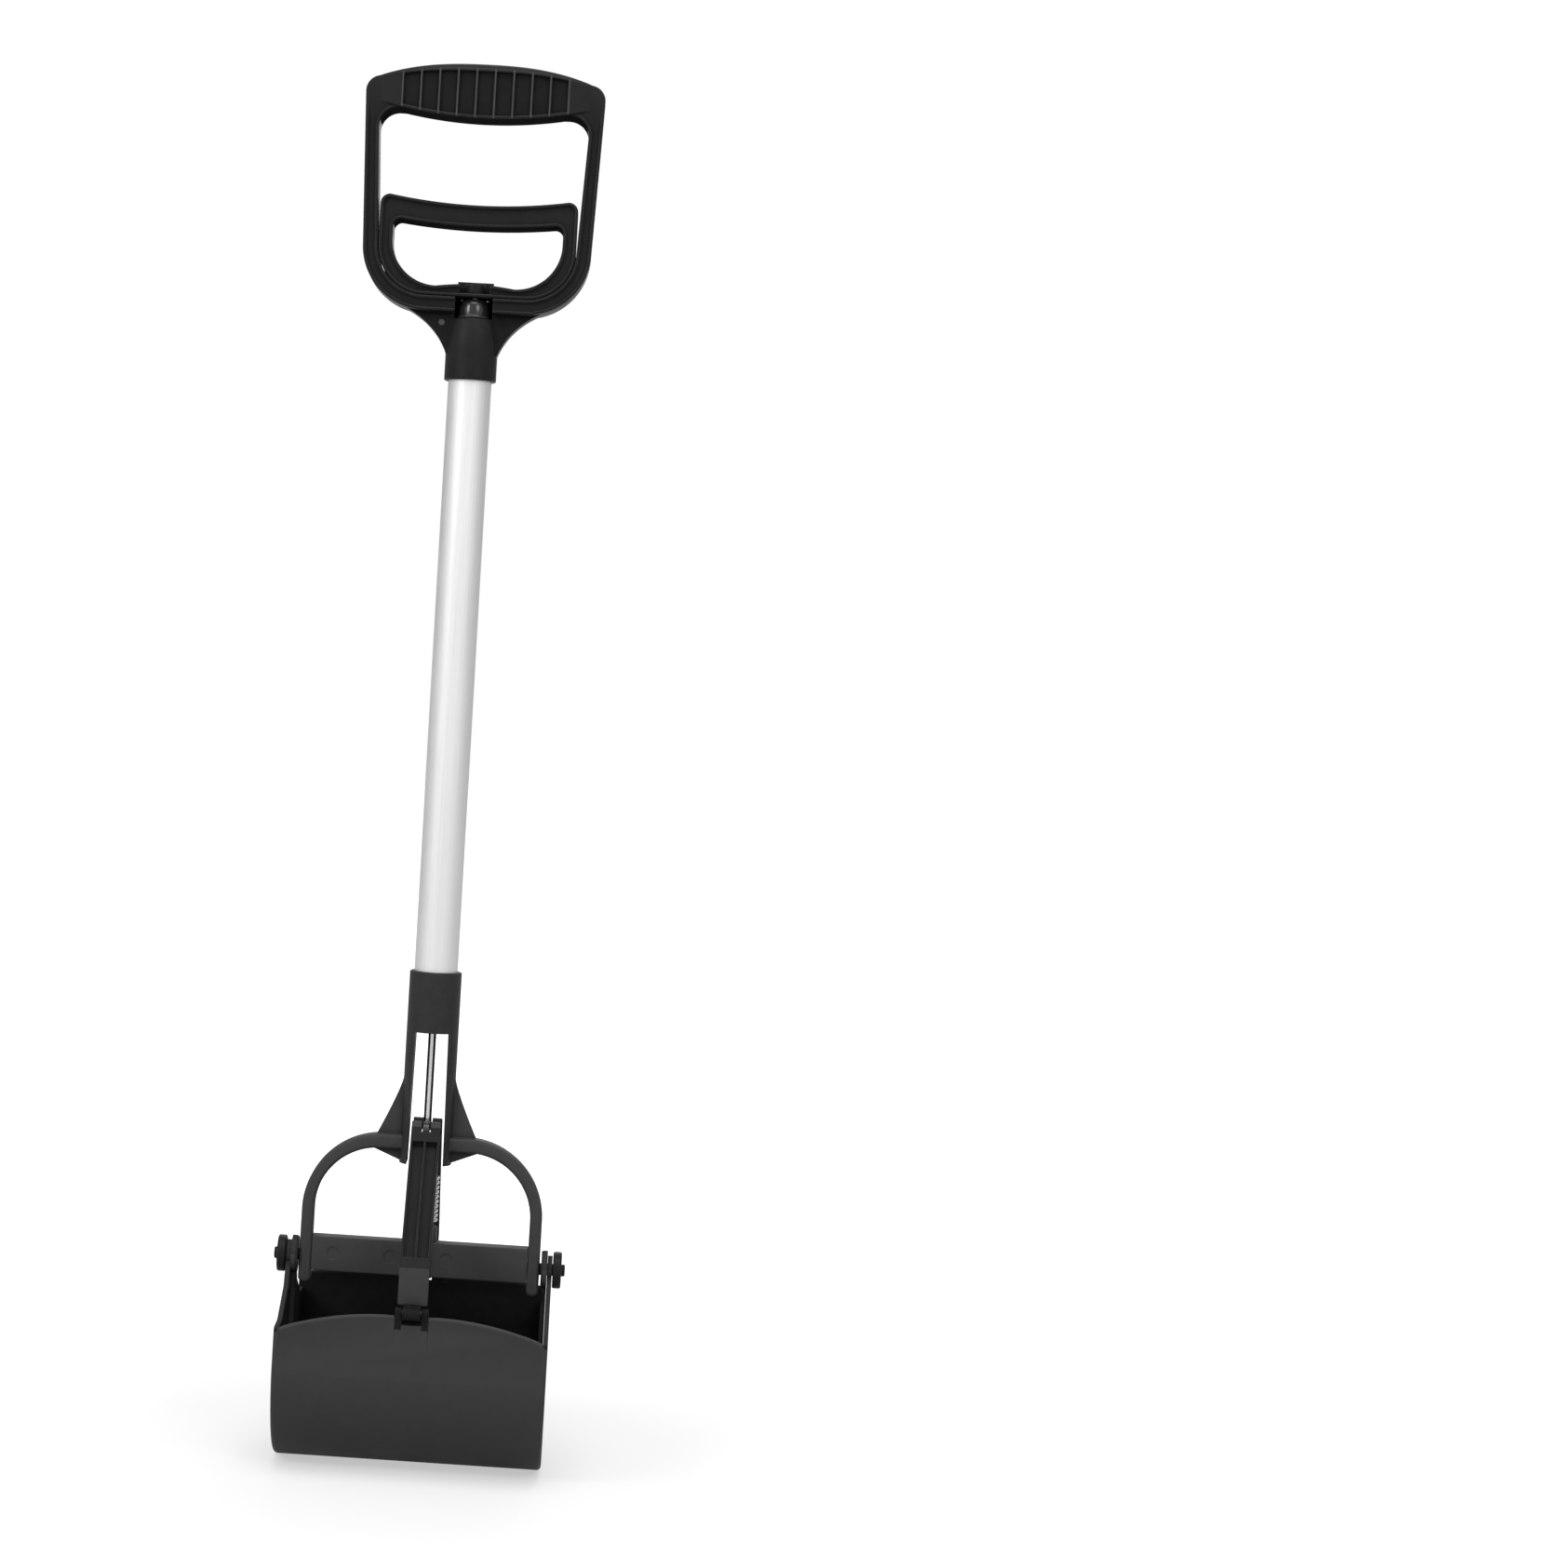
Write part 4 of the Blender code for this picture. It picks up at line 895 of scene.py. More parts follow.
def spring_path():
    """Points of the spring from its lower leg to its upper leg."""
    low = hub_top_z + gap + spring_wire_radius
    middle = low + spring_turns * spring_pitch / 2
    bend = arc((spring_bend_radius, low - spring_bend_radius), spring_bend_radius, 180, 90, corner_steps)
    half = [(0, 0, hub_top_z - spring_leg_length), (0, 0, low - spring_bend_radius - spring_wire_radius)]
    half += [(reach, 0, z) for reach, z in bend]
    count = int(spring_turns / 2 * spring_points_per_turn)
    for step in range(1, count + 1):
        turns = step / spring_points_per_turn
        share = min(1, 2 * turns)
        eased = share * share * (3 - 2 * share)
        reach = spring_bend_radius + (spring_coil_radius - spring_bend_radius) * eased
        angle = 2 * math.pi * turns
        half.append((reach * math.cos(angle), reach * math.sin(angle), low + spring_pitch * turns))
    last = half[-1]
    tilt = math.atan2(last[1], last[0])
    meet = tilt + math.pi * (spring_turns - 2 * count / spring_points_per_turn)
    other = []
    for x, y, z in half:
        reach = math.hypot(x, y)
        angle = 2 * meet - math.atan2(y, x)
        other.append((reach * math.cos(angle), reach * math.sin(angle), 2 * middle - z))
    other[0] = (0, 0, eye_plate_foot_z - gap)
    return [Vector(point) for point in half + other[::-1]]


def make_spring():
    """The closing spring as one unbroken tube."""
    data = bpy.data.curves.new("spring_line", "CURVE")
    data.dimensions = "3D"
    data.bevel_depth = spring_wire_radius
    data.bevel_resolution = spring_bevel_resolution
    data.use_fill_caps = True
    points = spring_path()
    line = data.splines.new("POLY")
    line.points.add(len(points) - 1)
    for knot, point in zip(line.points, points):
        knot.co = (*point, 1)
    made = bpy.data.objects.new("spring_line", data)
    bpy.context.scene.collection.objects.link(made)
    bpy.context.view_layer.update()
    mesh = bpy.data.meshes.new_from_object(made.evaluated_get(bpy.context.evaluated_depsgraph_get()))
    bpy.data.objects.remove(made, do_unlink=True)
    piece = bpy.data.objects.new("spring_body", mesh)
    bpy.context.scene.collection.objects.link(piece)
    return piece


def make_pull_rod():
    """The rod, with the eye plate that carries both links at its foot."""
    low, high, half = eye_plate_foot_z, eye_plate_top_z, eye_plate_half_length
    corner = eye_plate_corner
    right = [(0, low)] + arc((half - corner, low + corner), corner, -90, 0, corner_steps)
    right += arc((half - corner, high - corner), corner, 0, 90, corner_steps) + [(0, high)]
    pull = prism(mirrored(right), -eye_plate_thickness / 2, eye_plate_thickness / 2, "X")
    round_edges(pull, small_round, fine_segments)
    join(pull, bar(rod_radius, high - eye_plate_corner, ferrule_top_z - gap, steps=small_steps))
    for side in (-1, 1):
        cut(pull, lying(link_pin_radius + running_gap, link_half_width, side * link_pin_offset, link_pin_z))
    return pull


def make_link(side):
    """A cranked link: split knuckle, ribbed limb, upright foot and slotted eye."""
    pin = (link_pin_offset, link_pin_z)
    down = Vector((link_foot_front - link_pin_offset, -link_pin_above_pivot - link_aim_below_pivot))
    down.normalize()
    out = Vector((-down[1], down[0]))
    start = Vector(pin) + out * link_knuckle_radius
    elbow = start + down * ((link_foot_front - start[0]) / down[0])
    back = start - out * link_thickness
    inner_reach = link_foot_front - link_thickness
    inner = back + down * ((inner_reach - back[0]) / down[0])
    foot_z = hinge_z + link_foot_above_hinge
    slope = math.degrees(math.atan2(out[1], out[0]))
    outline = [(link_foot_front, foot_z), tuple(elbow)]
    outline += arc(pin, link_knuckle_radius, slope, slope + link_knuckle_sweep, wide_steps)
    outline += [tuple(inner), (inner_reach, foot_z)]
    link = slab(side, outline, link_half_width)
    round_edges(link, link_round, fine_segments)

    eye = stadium((hinge_reach, hinge_z), (hinge_reach + hinge_slot_travel, hinge_z),
                  hinge_slot_half + link_barrel_wall)
    join(link, slab(side, eye, link_barrel_half_width))
    neck = rectangle((inner_reach + link_neck_inset, hinge_z),
                     (link_foot_front - link_neck_inset / 2, foot_z + link_thickness / 2))
    join(link, slab(side, neck, link_barrel_half_width - gap))

    first = start + down * link_channel_start
    last = elbow - down * link_channel_end
    floor = out * link_channel_depth
    lid = out * overrun
    groove = [tuple(first + lid), tuple(last + lid), tuple(last - floor), tuple(first - floor)]
    both(cut, link, side, groove, link_rib / 2, link_half_width - link_rib)
    notch = rectangle((link_pin_offset - link_knuckle_radius - overrun, link_pin_z - link_notch_drop),
                      (link_notch_reach, link_pin_z + link_knuckle_radius + overrun))
    cut(link, slab(side, notch, link_notch_half))
    cut(link, lying(link_pin_radius + gap, link_half_width + overrun, side * link_pin_offset, link_pin_z))
    slot = stadium((hinge_reach, hinge_z), (hinge_reach + hinge_slot_travel, hinge_z), hinge_slot_half)
    cut(link, slab(side, slot, link_half_width))
    return link


def shell_side(depth, tail):
    """Side profile of a jaw's skin at a depth, from its tip up to its flat front."""
    radius = jaw_radius - depth
    reach = jaw_flat_reach - depth
    meet = -math.degrees(math.acos(reach / radius))
    return [(-tail, curve_z - radius)] + arc((0, curve_z), radius, -90, meet, jaw_steps)


def front_top():
    """Right half of the front jaw's arched top edge, from the middle outwards."""
    shoulder = (jaw_half_width - jaw_shoulder_inset, jaw_top_z - jaw_shoulder_drop)
    edge = [(0, jaw_top_z)] + curve((jaw_top_flat, jaw_top_z), (jaw_top_bend, jaw_top_z), shoulder)
    return edge + curve(shoulder, (jaw_half_width - jaw_corner_inset, jaw_top_z - jaw_corner_bend_drop),
                        (jaw_half_width, jaw_top_z - jaw_corner_drop), few_steps)[1:]


def rear_top():
    """Right half of the rear jaw's nearly level top edge."""
    edge = [(0, jaw_top_z)]
    return edge + curve((rear_top_flat, jaw_top_z), (rear_top_bend, jaw_top_z),
                        (rear_half_width, jaw_top_z - rear_top_drop))


def make_jaw(side, half_width, ear_radius, boss, lap, top_edge):
    """A bucket: rounded outside first, then parted, arched, hollowed, eared and lugged."""
    above = pivot_z - plate_top_start + overrun
    outside = shell_side(0, overrun) + [(jaw_flat_reach, above), (-overrun, above)]
    jaw = slab(side, outside, half_width)
    round_edges(jaw, jaw_edge_round, jaw_segments)

    wide = half_width + overrun
    far = above + overrun
    tail = 2 * overrun
    parting = rectangle((-tail, -overrun), (jaw_parting_gap, far))
    cut(jaw, slab(side, parting, wide))

    plate = [(-tail, pivot_z - plate_top_start)]
    plate += curve((0, pivot_z - plate_top_start), (plate_top_bend, pivot_z - plate_top_bend_drop),
                   (plate_top_reach, pivot_z - plate_top_drop))
    plate += [(jaw_flat_reach - jaw_wall, pivot_z - plate_corner_drop), (jaw_flat_reach - jaw_wall, far)]
    plate += [(-tail, far)]
    cut(jaw, slab(side, plate, wide))

    rim = jaw_wall / 2
    lowered = [(x, z - rim) for x, z in top_edge]
    right = lowered + [(wide, lowered[-1][1]), (wide, far), (0, far)]
    ends = sorted((side * (jaw_flat_reach - jaw_wall), side * (jaw_flat_reach + overrun)))
    cut(jaw, prism(mirrored(right), *ends))

    inside = shell_side(jaw_wall, tail) + [(jaw_flat_reach - jaw_wall, far), (-tail, far)]
    cut(jaw, slab(side, inside, half_width - jaw_wall))
    path = [point for point in lowered if point[0] < half_width - rim]
    path = [(-x, z) for x, z in path[:0:-1]] + path
    join(jaw, bead(path, rim + rim_swell, side * (jaw_flat_reach - rim)))

    if lap:
        radius = jaw_radius - jaw_edge_round
        spread = math.degrees(math.asin(lap / radius))
        tab = arc((0, curve_z), radius, -90 - spread, -90 + spread / 2, corner_steps)
        tab_top = pivot_z - plate_top_start - jaw_wall
        tab += [(tab[-1][0], tab_top), (-lap, tab_top)]
        both(join, jaw, side, tab, half_width, half_width - jaw_wall)

    ear = arc((0, pivot_z), ear_radius, ear_start_angle, ear_end_angle, disc_steps)
    ear += [(jaw_parting_gap, pivot_z - ear_foot_drop), (ear_foot_reach, pivot_z - ear_foot_drop)]
    ear += curve(ear[-1], (ear_bend_reach, pivot_z - ear_bend_drop), ear[0], few_steps)[1:-1]
    both(join, jaw, side, ear, half_width, half_width - jaw_wall)
    if boss:
        disc = arc((0, pivot_z), ear_radius - gap, 0, disc_sweep, disc_steps - 1)
        both(join, jaw, side, disc, half_width - jaw_wall / 2, half_width - jaw_wall - boss)

    lug_foot = hinge_z - hinge_notch_drop
    lug_radius = hinge_lug_radius if lap else rear_lug_radius
    foot = [(jaw_flat_reach - hinge_pad_proud, hinge_z - hinge_pad_foot_drop),
            (jaw_flat_reach + hinge_pad_proud, lug_foot - lug_radius)]
    lug = arc((hinge_reach, hinge_z), lug_radius, 0, 180)
    lug += [(hinge_reach - lug_radius, hinge_z - hinge_pin_radius)]
    lug += [(jaw_flat_reach - jaw_wall / 2, lug_foot - lug_radius)] + foot
    pad = [(jaw_flat_reach - jaw_wall / 2, lug_foot)] + foot + [(jaw_flat_reach + hinge_pad_proud, lug_foot)]
    join(jaw, slab(side, pad, hinge_lug_inner + gap))
    both(join, jaw, side, lug, hinge_lug_inner, hinge_lug_outer)
    notch = [(hinge_reach - overrun, hinge_z - hinge_notch_back_drop),
             (jaw_flat_reach - jaw_wall, hinge_z - hinge_notch_back_drop), (jaw_flat_reach, lug_foot),
             (hinge_reach + overrun, lug_foot), (hinge_reach + overrun, far), (hinge_reach - overrun, far)]
    cut(jaw, slab(side, notch, hinge_notch_half))
    cut(jaw, lying(hinge_pin_radius + gap, hinge_lug_outer + overrun, side * hinge_reach, hinge_z))
    cut(jaw, lying(pivot_pin_radius + running_gap, wide, 0, pivot_z))
    return jaw


def make_rivet(centre_z):
    """A blind rivet from the back, through the socket and the tube."""
    inside = tube_radius - tube_wall - gap
    head = socket_radius + gap
    profile = [(rivet_tail_radius, inside - rivet_tail_length), (rivet_tail_radius, inside - gap)]
    profile += [(rivet_radius, inside - gap), (rivet_radius, head)]
    profile += [(rivet_head_radius, head), (rivet_head_radius, head + rivet_head_height * dome_share)]
    profile += [(rivet_head_radius * dome_share, head + rivet_head_height)]
    return turned(profile, (0, 0, centre_z), "Y", small_steps)


def add_node(tree, kind, inputs, **settings):
    """A node with its settings, each input set to a value or linked to another node's output."""
    made = tree.nodes.new(kind)
    for name, value in settings.items():
        setattr(made, name, value)
    for name, value in inputs.items():
        if isinstance(value, bpy.types.NodeSocket):
            tree.links.new(value, made.inputs[name])
        else:
            made.inputs[name].default_value = value
    return made


def noise(tree, scale, detail, stretch=(1, 1, 1)):
    """A noise texture in the object's own metres."""
    place = add_node(tree, "ShaderNodeTexCoord", {}).outputs["Object"]
    spread = add_node(tree, "ShaderNodeMapping", {"Scale": stretch, "Vector": place}).outputs["Vector"]
    inputs = {"Scale": scale, "Detail": detail, "Vector": spread}
    return add_node(tree, "ShaderNodeTexNoise", inputs).outputs["Fac"]


def ramp(tree, value, low, high, start=0.3, end=0.7):
    """Turn a value into a number between two others."""
    inputs = {"From Min": start, "From Max": end, "To Min": low, "To Max": high, "Value": value}
    return add_node(tree, "ShaderNodeMapRange", inputs).outputs["Result"]


def blend_colours(tree, factor, one, two, way="MIX"):
    """Mix or multiply two colours, either of which may be another node's output."""
    inputs = {"Factor": factor, 6: one, 7: two}
    return add_node(tree, "ShaderNodeMix", inputs, data_type="RGBA", blend_type=way).outputs[2]


def edges(tree):
    """A mask that is high where the surface turns a corner, and the softened normal there."""
    soft = add_node(tree, "ShaderNodeBevel", {"Radius": edge_reach}, samples=edge_samples).outputs["Normal"]
    flat = add_node(tree, "ShaderNodeNewGeometry", {}).outputs["Normal"]
    match = add_node(tree, "ShaderNodeVectorMath", {0: soft, 1: flat}, operation="DOT_PRODUCT")
    return ramp(tree, match.outputs["Value"], 1, 0, edge_start, edge_full), soft


def bump(tree, height, depth, **normal):
    """A bump of a depth in metres."""
    inputs = {"Strength": 1, "Distance": depth, "Height": height, **normal}
    return add_node(tree, "ShaderNodeBump", inputs).outputs["Normal"]


def painted_hollow_shade(tree, colour, reach, least, start):
    """Darken a colour where nearby surfaces close it in, as painted shade."""
    shade = add_node(tree, "ShaderNodeAmbientOcclusion", {"Distance": reach}, samples=hollow_samples,
                     only_local=True)
    light = ramp(tree, shade.outputs["AO"], least, 1, start, open_share)
    return blend_colours(tree, 1, colour, light, "MULTIPLY")


def new_material(name, setting, value):
    """A material, its nodes and its shader, with one setting made."""
    made = bpy.data.materials.new(name)
    made.use_nodes = True
    shader = made.node_tree.nodes["Principled BSDF"]
    shader.inputs[setting].default_value = value
    return made, made.node_tree, shader


def plastic(name, dark, light, edge_wear_and_light, roughness, grain_depth, specular, reach, least=0.3, start=0.2):
    """Moulded nylon: faint mottling, a fine grain, corners in an edge colour that is part rubbed wear and
    part painted highlight (on the jaws, painted edge shade), and painted shade in the hollows.
    """
    made, tree, shader = new_material(name, "Specular IOR Level", specular)
    dark, light, edge_wear_and_light = ((grey, grey, blue, 1) for grey, blue in (dark, light, edge_wear_and_light))
    # corners take the edge colour: part rubbed wear, part painted highlight, and painted edge shade where it
    # is darker
    mask, soft = edges(tree)
    base = blend_colours(tree, ramp(tree, noise(tree, *mottle), 0, 1), dark, light)
    # painted shade in the hollows, then the edge colour on the corners
    base = blend_colours(tree, mask, painted_hollow_shade(tree, base, reach, least, start), edge_wear_and_light)
    rough = ramp(tree, noise(tree, *flow), roughness - plastic_smoother, roughness + plastic_rougher)
    tree.links.new(base, shader.inputs["Base Color"])
    tree.links.new(rough, shader.inputs["Roughness"])
    tree.links.new(bump(tree, noise(tree, *grain), grain_depth, Normal=soft), shader.inputs["Normal"])
    return made


def metal(name, dark, light, roughness, stretch, depth):
    """Drawn metal, with fine lines along one way."""
    made, tree, shader = new_material(name, "Metallic", 1)
    dark, light = ((grey, grey, blue, 1) for grey, blue in (dark, light))
    lines = noise(tree, *drawn_lines, stretch)
    rough = ramp(tree, noise(tree, *clouds), roughness - metal_smoother, roughness + metal_rougher)
    tree.links.new(blend_colours(tree, ramp(tree, lines, 0, 1), dark, light), shader.inputs["Base Color"])
    tree.links.new(rough, shader.inputs["Roughness"])
    tree.links.new(bump(tree, lines, depth), shader.inputs["Normal"])
    return made


def dress(piece, node, body, slot, paint, *extra):
    """Settle a piece, let it stand for its node, and paint it, with other paints where their tests hold."""
    bpy.context.view_layer.update()
    mesh = bpy.data.meshes.new_from_object(piece.evaluated_get(bpy.context.evaluated_depsgraph_get()))
    piece.modifiers.clear()
    piece.data = mesh
    while guides:
        bpy.data.objects.remove(guides.pop(), do_unlink=True)
    mesh.materials.clear()
    for name in (paint, *(name for name, test in extra)):
        mesh.materials.append(paints[name])
    for face in mesh.polygons:
        found = (index for index, (name, test) in enumerate(extra, 1) if test(*face.center, face.normal))
        face.material_index = next(found, 0)
    mesh.shade_smooth()
    mesh.set_sharp_from_angle(angle=sharp_angle)
    piece.name = f"{node}_look"
    if body:
        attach(piece, body)
    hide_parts(node)
    return piece


def on_rib(x, y, z, normal):
    """Whether a face is on the crest of one of the grip's ribs, which gets a painted highlight."""
    near = min(abs(x - place) for place in rib_places()) < rib_crest / 2
    return near and abs(normal.y) > face_on and z > shoulder_z + grip_underside_rise


def on_mark(x, y, z, normal):
    """Whether a face is in the round mark on a web."""
    reach = math.hypot(x + frame_mark_reach, z - shoulder_z + frame_mark_drop)
    return abs(normal.y) > face_on and reach < mark_radius


def in_shade(x, y, z, normal):
    """Whether a face is in a bay of the grip, on a web or on an underside of the handle frame, where shade is
    painted.
    """
    end = x / (frame_top_half - frame_corner_round)
    reach = (grip_depth + (frame_depth - grip_depth) * end ** 2) / 2
    underside_z = shoulder_z + grip_underside_rise
    bay = z > underside_z and abs(x) < rib_places()[-1] and abs(y) < reach - panel_depth / 2
    web = z < shoulder_z + frame_foot_rise and abs(abs(y) - web_thickness / 2) < small_round / 4
    under = normal.z < underside_slope and z > underside_z - frame_throat_round
    return under or abs(normal.y) > face_on and (bay or web)


def make_handle():
    """The handle frame and its rod guide."""
    # the rib crests get a painted highlight, and the bays, webs and undersides painted shade
    dress(make_handle_frame(), "handle_frame", "frame", "black_plastic", "black_nylon",
          ("pale_nylon", on_mark), ("rib_highlight_nylon", on_rib), ("painted_shade_nylon", in_shade))
    bore = rod_radius + running_gap
    low, step, high = shoulder_z + gap, shoulder_z + guide_flange_height, shoulder_z + guide_height
    rim, foot = guide_flange_radius - small_round, shoulder_z - guide_spigot_length
    profile = [(bore, foot), (guide_spigot_radius, foot), (guide_spigot_radius, low)]
    profile += arc((rim, low + small_round), small_round, -90, 0, 1)
    profile += arc((rim, step - small_round), small_round, 0, 90, 1)
    profile += curve((guide_dome_radius, step + gap), (guide_dome_radius, high),
                     (guide_crown_radius, high), bend_steps)
    dress(ring(profile + [(bore, high)]), "rod_guide", "frame", "gloss_plastic", "gloss_nylon")


def make_body():
    """The tube and its rivets, the fork, the crossbar and the spring."""
    rivets = (("upper", upper_rim_z + rivet_inset), ("lower", lower_rim_z - rivet_inset))
    tube = ring(rectangle((tube_radius - tube_wall, tube_foot_z), (tube_radius, tube_top_z)))
    for place, z in rivets:
        cut(tube, rivet_hole(z))
    dress(tube, "tube", "frame", "silver_tube", "silver_tube")
    for place, z in rivets:
        dress(make_rivet(z), f"{place}_socket_rivet", "frame", "bright_steel", "bright_steel")
    # the fork's socket and legs get a darker copy, painted shade; its arms keep the lighter one
    dress(make_fork(), "fork", "frame", "charcoal_plastic", "charcoal_nylon",
          ("arm_nylon", lambda x, y, z, normal: abs(x) > socket_radius + gap))
    dress(make_crossbar(), "crossbar", "frame", "charcoal_plastic", "arm_nylon")
    spring = dress(make_spring(), "closing_spring", None, "bright_steel", "bright_steel")
    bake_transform(spring)


def make_pivots():
    """The two pins that the jaws turn on, and their caps."""
    foot = jaw_half_width + gap
    top = foot + pivot_cap_thickness
    near, far = arm_inner_half - pivot_pin_seat, top + pivot_pin_proud
    core = pivot_pin_radius - pivot_pin_round
    pin = [(core, near), (pivot_pin_radius, near + pivot_pin_round)]
    pin += arc((core, far - pivot_pin_round), pivot_pin_round, 0, 90, tiny_steps)
    cap = rounded(pivot_pin_radius + gap, pivot_cap_radius, foot, top, pivot_cap_round)
    centre = (0, 0, pivot_z)
    for place, side in (("left", -1), ("right", 1)):
        pin_here, cap_here = ([(radius, side * reach) for radius, reach in profile] for profile in (pin, cap))
        dress(turned(pin_here, centre, "X", small_steps), f"{place}_pivot_pin", "frame", "black_plastic",
              "black_nylon")
        dress(ring(cap_here, centre, "X"), f"{place}_pivot_cap", "frame", "black_plastic", "black_nylon")


def make_pull():
    """The trigger, the rod that it pulls and the ferrule that joins them."""
    # the trigger's undersides get painted shade
    dress(make_trigger(), "trigger", "pull", "black_plastic", "black_nylon",
          ("painted_shade_nylon", lambda x, y, z, normal: normal.z < underside_slope))
    # the rod's eye plate gets darkened steel: painted shade
    dress(make_pull_rod(), "pull_rod", "pull", "bright_steel", "bright_steel",
          ("shaded_steel", lambda x, y, z, normal: z < eye_plate_top_z + small_round))
    profile = rounded(rod_radius + gap, ferrule_radius, ferrule_foot_z, ferrule_top_z, ferrule_round)
    dress(ring(profile), "rod_ferrule", "pull", "black_plastic", "black_nylon")


def make_side(name, side, half_width, ear_radius, boss, lap, top_edge):
    """The two pins, the link and the jaw of one side."""
    edge = small_round / 2
    pin = lying(link_pin_radius, link_pin_half_length, side * link_pin_offset, link_pin_z, edge)
    dress(pin, f"{name}_link_pin", "pull", "bright_steel", "bright_steel")
    # the hinge pins get darkened steel: painted shade
    pin = lying(hinge_pin_radius, hinge_lug_outer, side * hinge_reach, hinge_z, edge)
    dress(pin, f"{name}_hinge_pin", f"{name}_jaw", "bright_steel", "shaded_steel")

    def on_limb(x, y, z, normal):
        """Whether a face is on the outside of the link's upper limb."""
        low, high = pivot_z + link_thickness + link_shade_climb, link_pin_z - link_knuckle_radius
        return low < z < high and side * normal.y > half_turned

    def in_jaw(x, y, z, normal):
        """Whether a face is inside the jaw, or on the lugs of its hinge, where shade is painted."""
        inward = normal.dot(Vector((x, y, z - curve_z))) < -jaw_wall / 2
        lug = abs(x) < hinge_notch_half + jaw_wall and z > hinge_z - hinge_notch_drop
        return lug or inward and abs(x) < half_width - jaw_wall / 2 and z < pivot_z - ear_foot_drop

    def on_plate_edge(x, y, z, normal):
        """Whether a face is on the upper edge of a side plate, where shade is painted."""
        outer = abs(x) > half_width - jaw_wall - small_round
        return outer and abs(normal.x) < half_turned and normal.z > just_up

    # the link's foot and eye get painted shade
    dress(make_link(side), f"{name}_link", f"{name}_link", "charcoal_plastic", "arm_nylon",
          ("shaded_nylon", on_limb),
          ("inner_shade_nylon", lambda x, y, z, normal: z < hinge_z + link_foot_above_hinge - small_round))
    jaw = make_jaw(side, half_width, ear_radius, boss, lap, top_edge)
    dress(jaw, f"{name}_jaw", f"{name}_jaw", "charcoal_plastic", "jaw_nylon",
          ("inner_shade_nylon", in_jaw), ("plate_edge_shade_nylon", on_plate_edge))


def make_pieces():
    """Every piece of the scooper, each in place of its node."""
    paints.update({name: plastic(name, *values) for name, values in plastics.items()})
    paints.update({name: metal(name, *values) for name, values in metals.items()})
    make_handle()
    make_body()
    make_pivots()
    make_pull()
    make_side("front", -1, jaw_half_width, front_ear_radius, 0, jaw_lap, front_top())
    make_side("rear", 1, rear_half_width + jaw_swell, rear_ear_radius, rear_boss_height, 0, rear_top())


def make_camera():
    """Look level at the tube's axis, rolled as the photograph is, and shifted to its framing."""
    data = bpy.data.cameras.new("view")
    camera = bpy.data.objects.new("view", data)
    bpy.context.scene.collection.objects.link(camera)
    ahead = Vector((-math.sin(turn), math.cos(turn), 0))
    level = Vector((math.cos(turn), math.sin(turn), 0))
    right = math.cos(lean) * level + math.sin(lean) * Vector((0, 0, 1))
    up = -math.sin(lean) * level + math.cos(lean) * Vector((0, 0, 1))
    place = Matrix((right, up, -ahead)).transposed().to_4x4()
    place.translation = Vector((0, 0, horizon)) - ahead * distance
    camera.matrix_world = place
    data.sensor_width = sensor_width
    data.lens = sensor_width * pixels_per_metre * distance / photo_side
    data.shift_x = (photo_side / 2 - centre_column) / photo_side
    data.shift_y = -(photo_side / 2 - centre_row) / photo_side
    data.clip_end = view_end
    bpy.context.scene.camera = camera


def number(tree, operation, one, two):
    """A sum, product or the like of two numbers, either of which may be another node's output."""
    return add_node(tree, "ShaderNodeMath", {0: one, 1: two}, operation=operation).outputs[0]


def seen(tree):
    """One for camera rays, and one for the rays by which gloss and glass see the background."""
    path = tree.nodes.new("ShaderNodeLightPath")
    mirror = number(tree, "MAXIMUM", path.outputs["Is Glossy Ray"], path.outputs["Is Transmission Ray"])
    return path.outputs["Is Camera Ray"], mirror


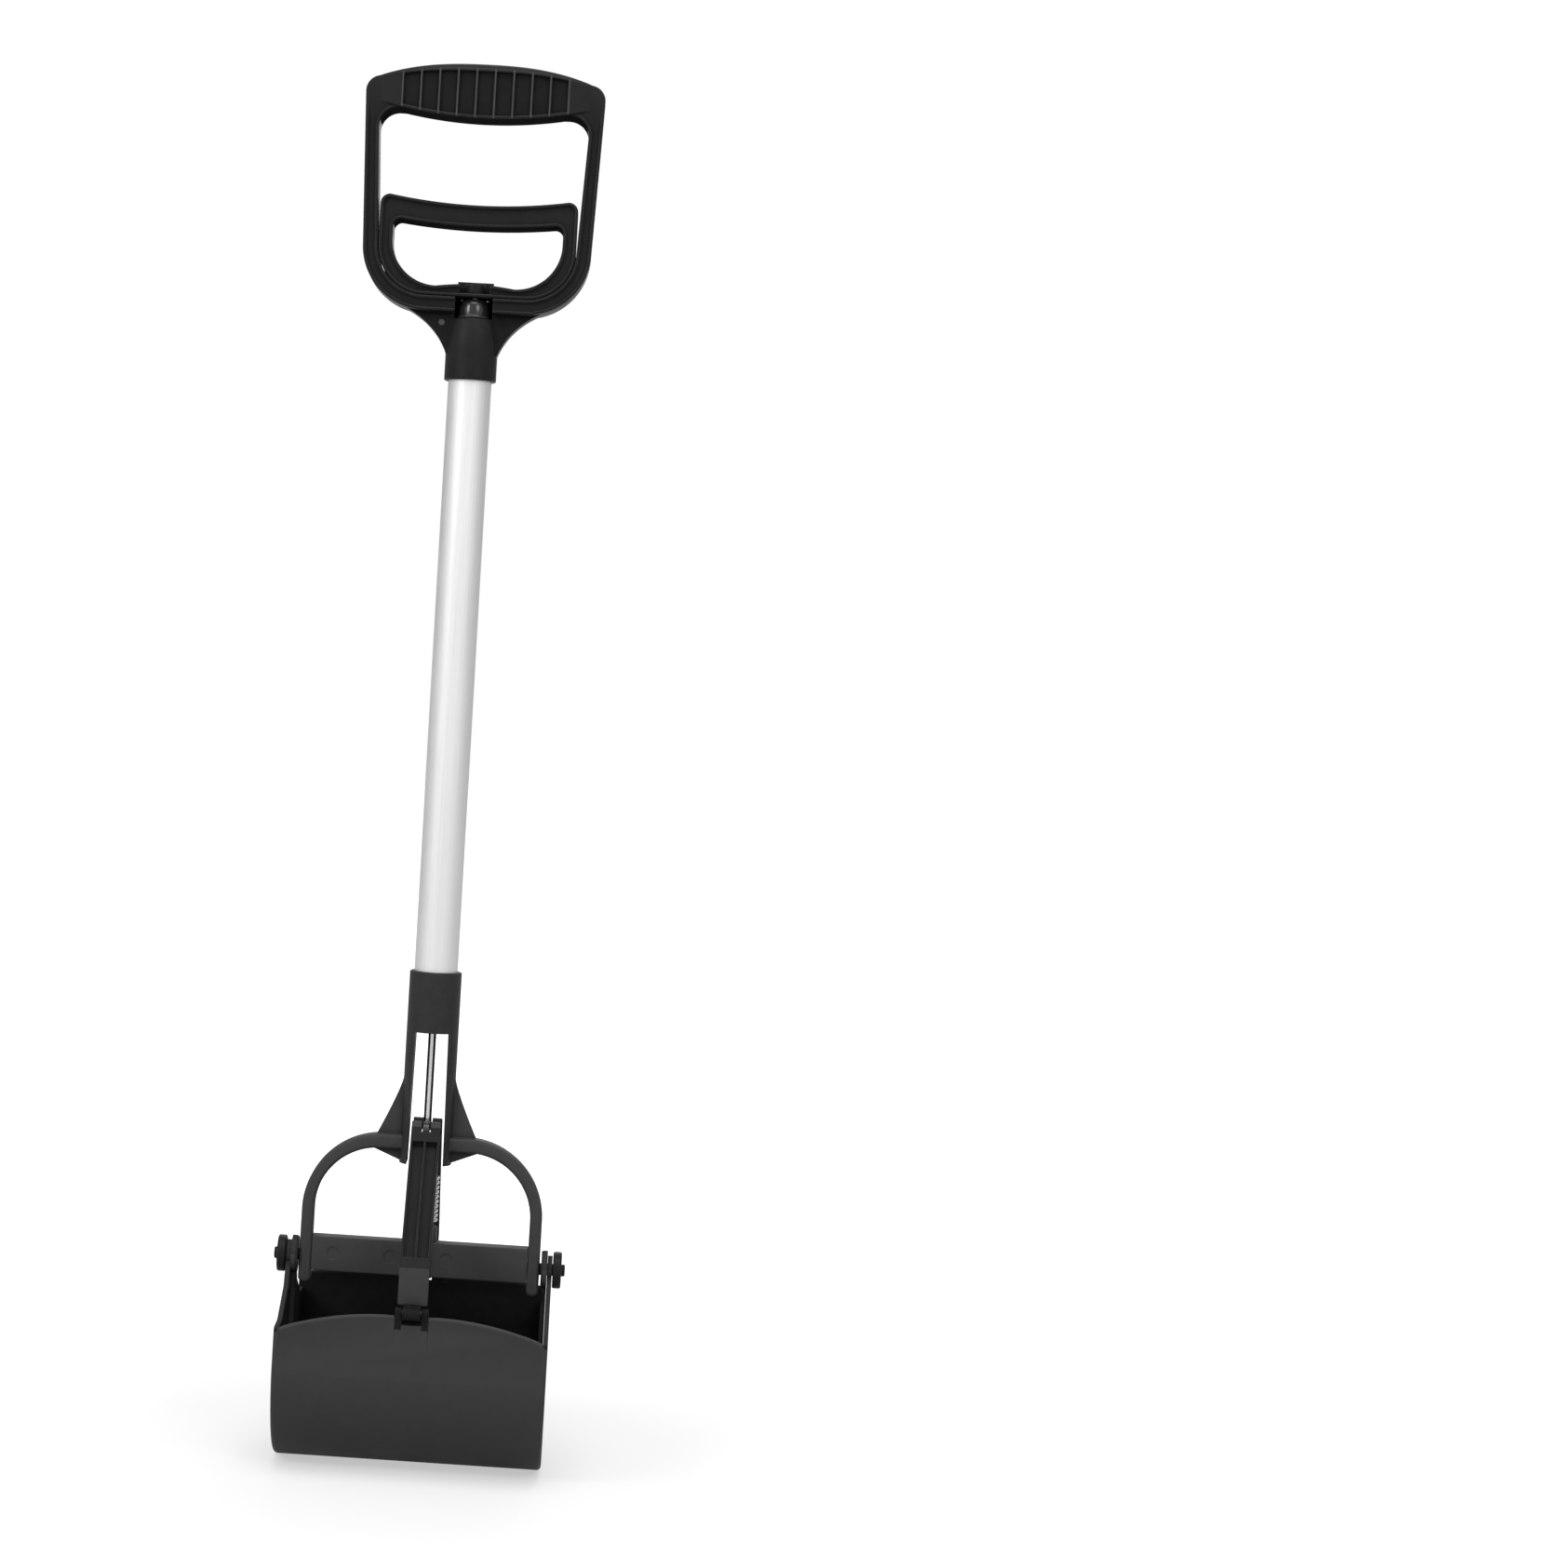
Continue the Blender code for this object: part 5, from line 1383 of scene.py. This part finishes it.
def make_world():
    """A surround that the camera sees as white and that lights the object at a plain level."""
    world = bpy.data.worlds.new("surround")
    bpy.context.scene.world = world
    world.use_nodes = True
    tree = world.node_tree
    background = tree.nodes["Background"]
    background.inputs["Color"].default_value = (1, 1, 1, 1)
    camera, mirror = seen(tree)
    way = add_node(tree, "ShaderNodeTexCoord", {}).outputs["Generated"]
    ahead = add_node(tree, "ShaderNodeSeparateXYZ", {"Vector": way}).outputs["Y"]
    gloss = ramp(tree, ahead, front_gloss_level, back_gloss_level, gloss_start, gloss_end)
    added = number(tree, "MULTIPLY", mirror, number(tree, "SUBTRACT", gloss, world_level))
    level = number(tree, "ADD", world_level, added)
    tree.links.new(number(tree, "MAXIMUM", camera, level), background.inputs["Strength"])


def make_floor():
    """A pale floor that takes the object's shadow and turns white away from it."""
    mesh = bpy.data.meshes.new("floor")
    mesh.from_pydata([(x * floor_half, y * floor_half, 0) for x, y in ((-1, -1), (1, -1), (1, 1), (-1, 1))],
                     [], [(0, 1, 2, 3)])
    floor = bpy.data.objects.new("floor", mesh)
    bpy.context.scene.collection.objects.link(floor)
    paint, tree, shader = new_material("pale_floor", "Roughness", floor_roughness)
    shader.inputs["Base Color"].default_value = (floor_grey, floor_grey, floor_grey, 1)
    shader.inputs["Emission Color"].default_value = (1, 1, 1, 1)
    camera, mirror = seen(tree)
    place = add_node(tree, "ShaderNodeTexCoord", {}).outputs["Object"]
    reach = add_node(tree, "ShaderNodeVectorMath", {0: place}, operation="LENGTH").outputs["Value"]
    glow = ramp(tree, reach, near_glow, 1.0, glow_start, glow_end)
    sight = number(tree, "MAXIMUM", camera, number(tree, "MULTIPLY", mirror, mirror_share))
    tree.links.new(number(tree, "MULTIPLY", sight, glow), shader.inputs["Emission Strength"])
    mesh.materials.append(paint)
    floor.location.z = -floor_drop


def make_lamps():
    """Soft square lamps that face the object."""
    for name, (place, target_z, side, power) in lamps.items():
        data = bpy.data.lights.new(name, "AREA")
        data.shape = "RECTANGLE"
        data.size = data.size_y = side
        data.energy = power
        lamp = bpy.data.objects.new(name, data)
        bpy.context.scene.collection.objects.link(lamp)
        lamp.location = place
        lamp.rotation_euler = (Vector((0, 0, target_z)) - Vector(place)).to_track_quat("-Z", "Y").to_euler()


make_pieces()
make_camera()
make_world()
make_floor()
make_lamps()
bpy.context.scene.view_settings.view_transform = "Standard"
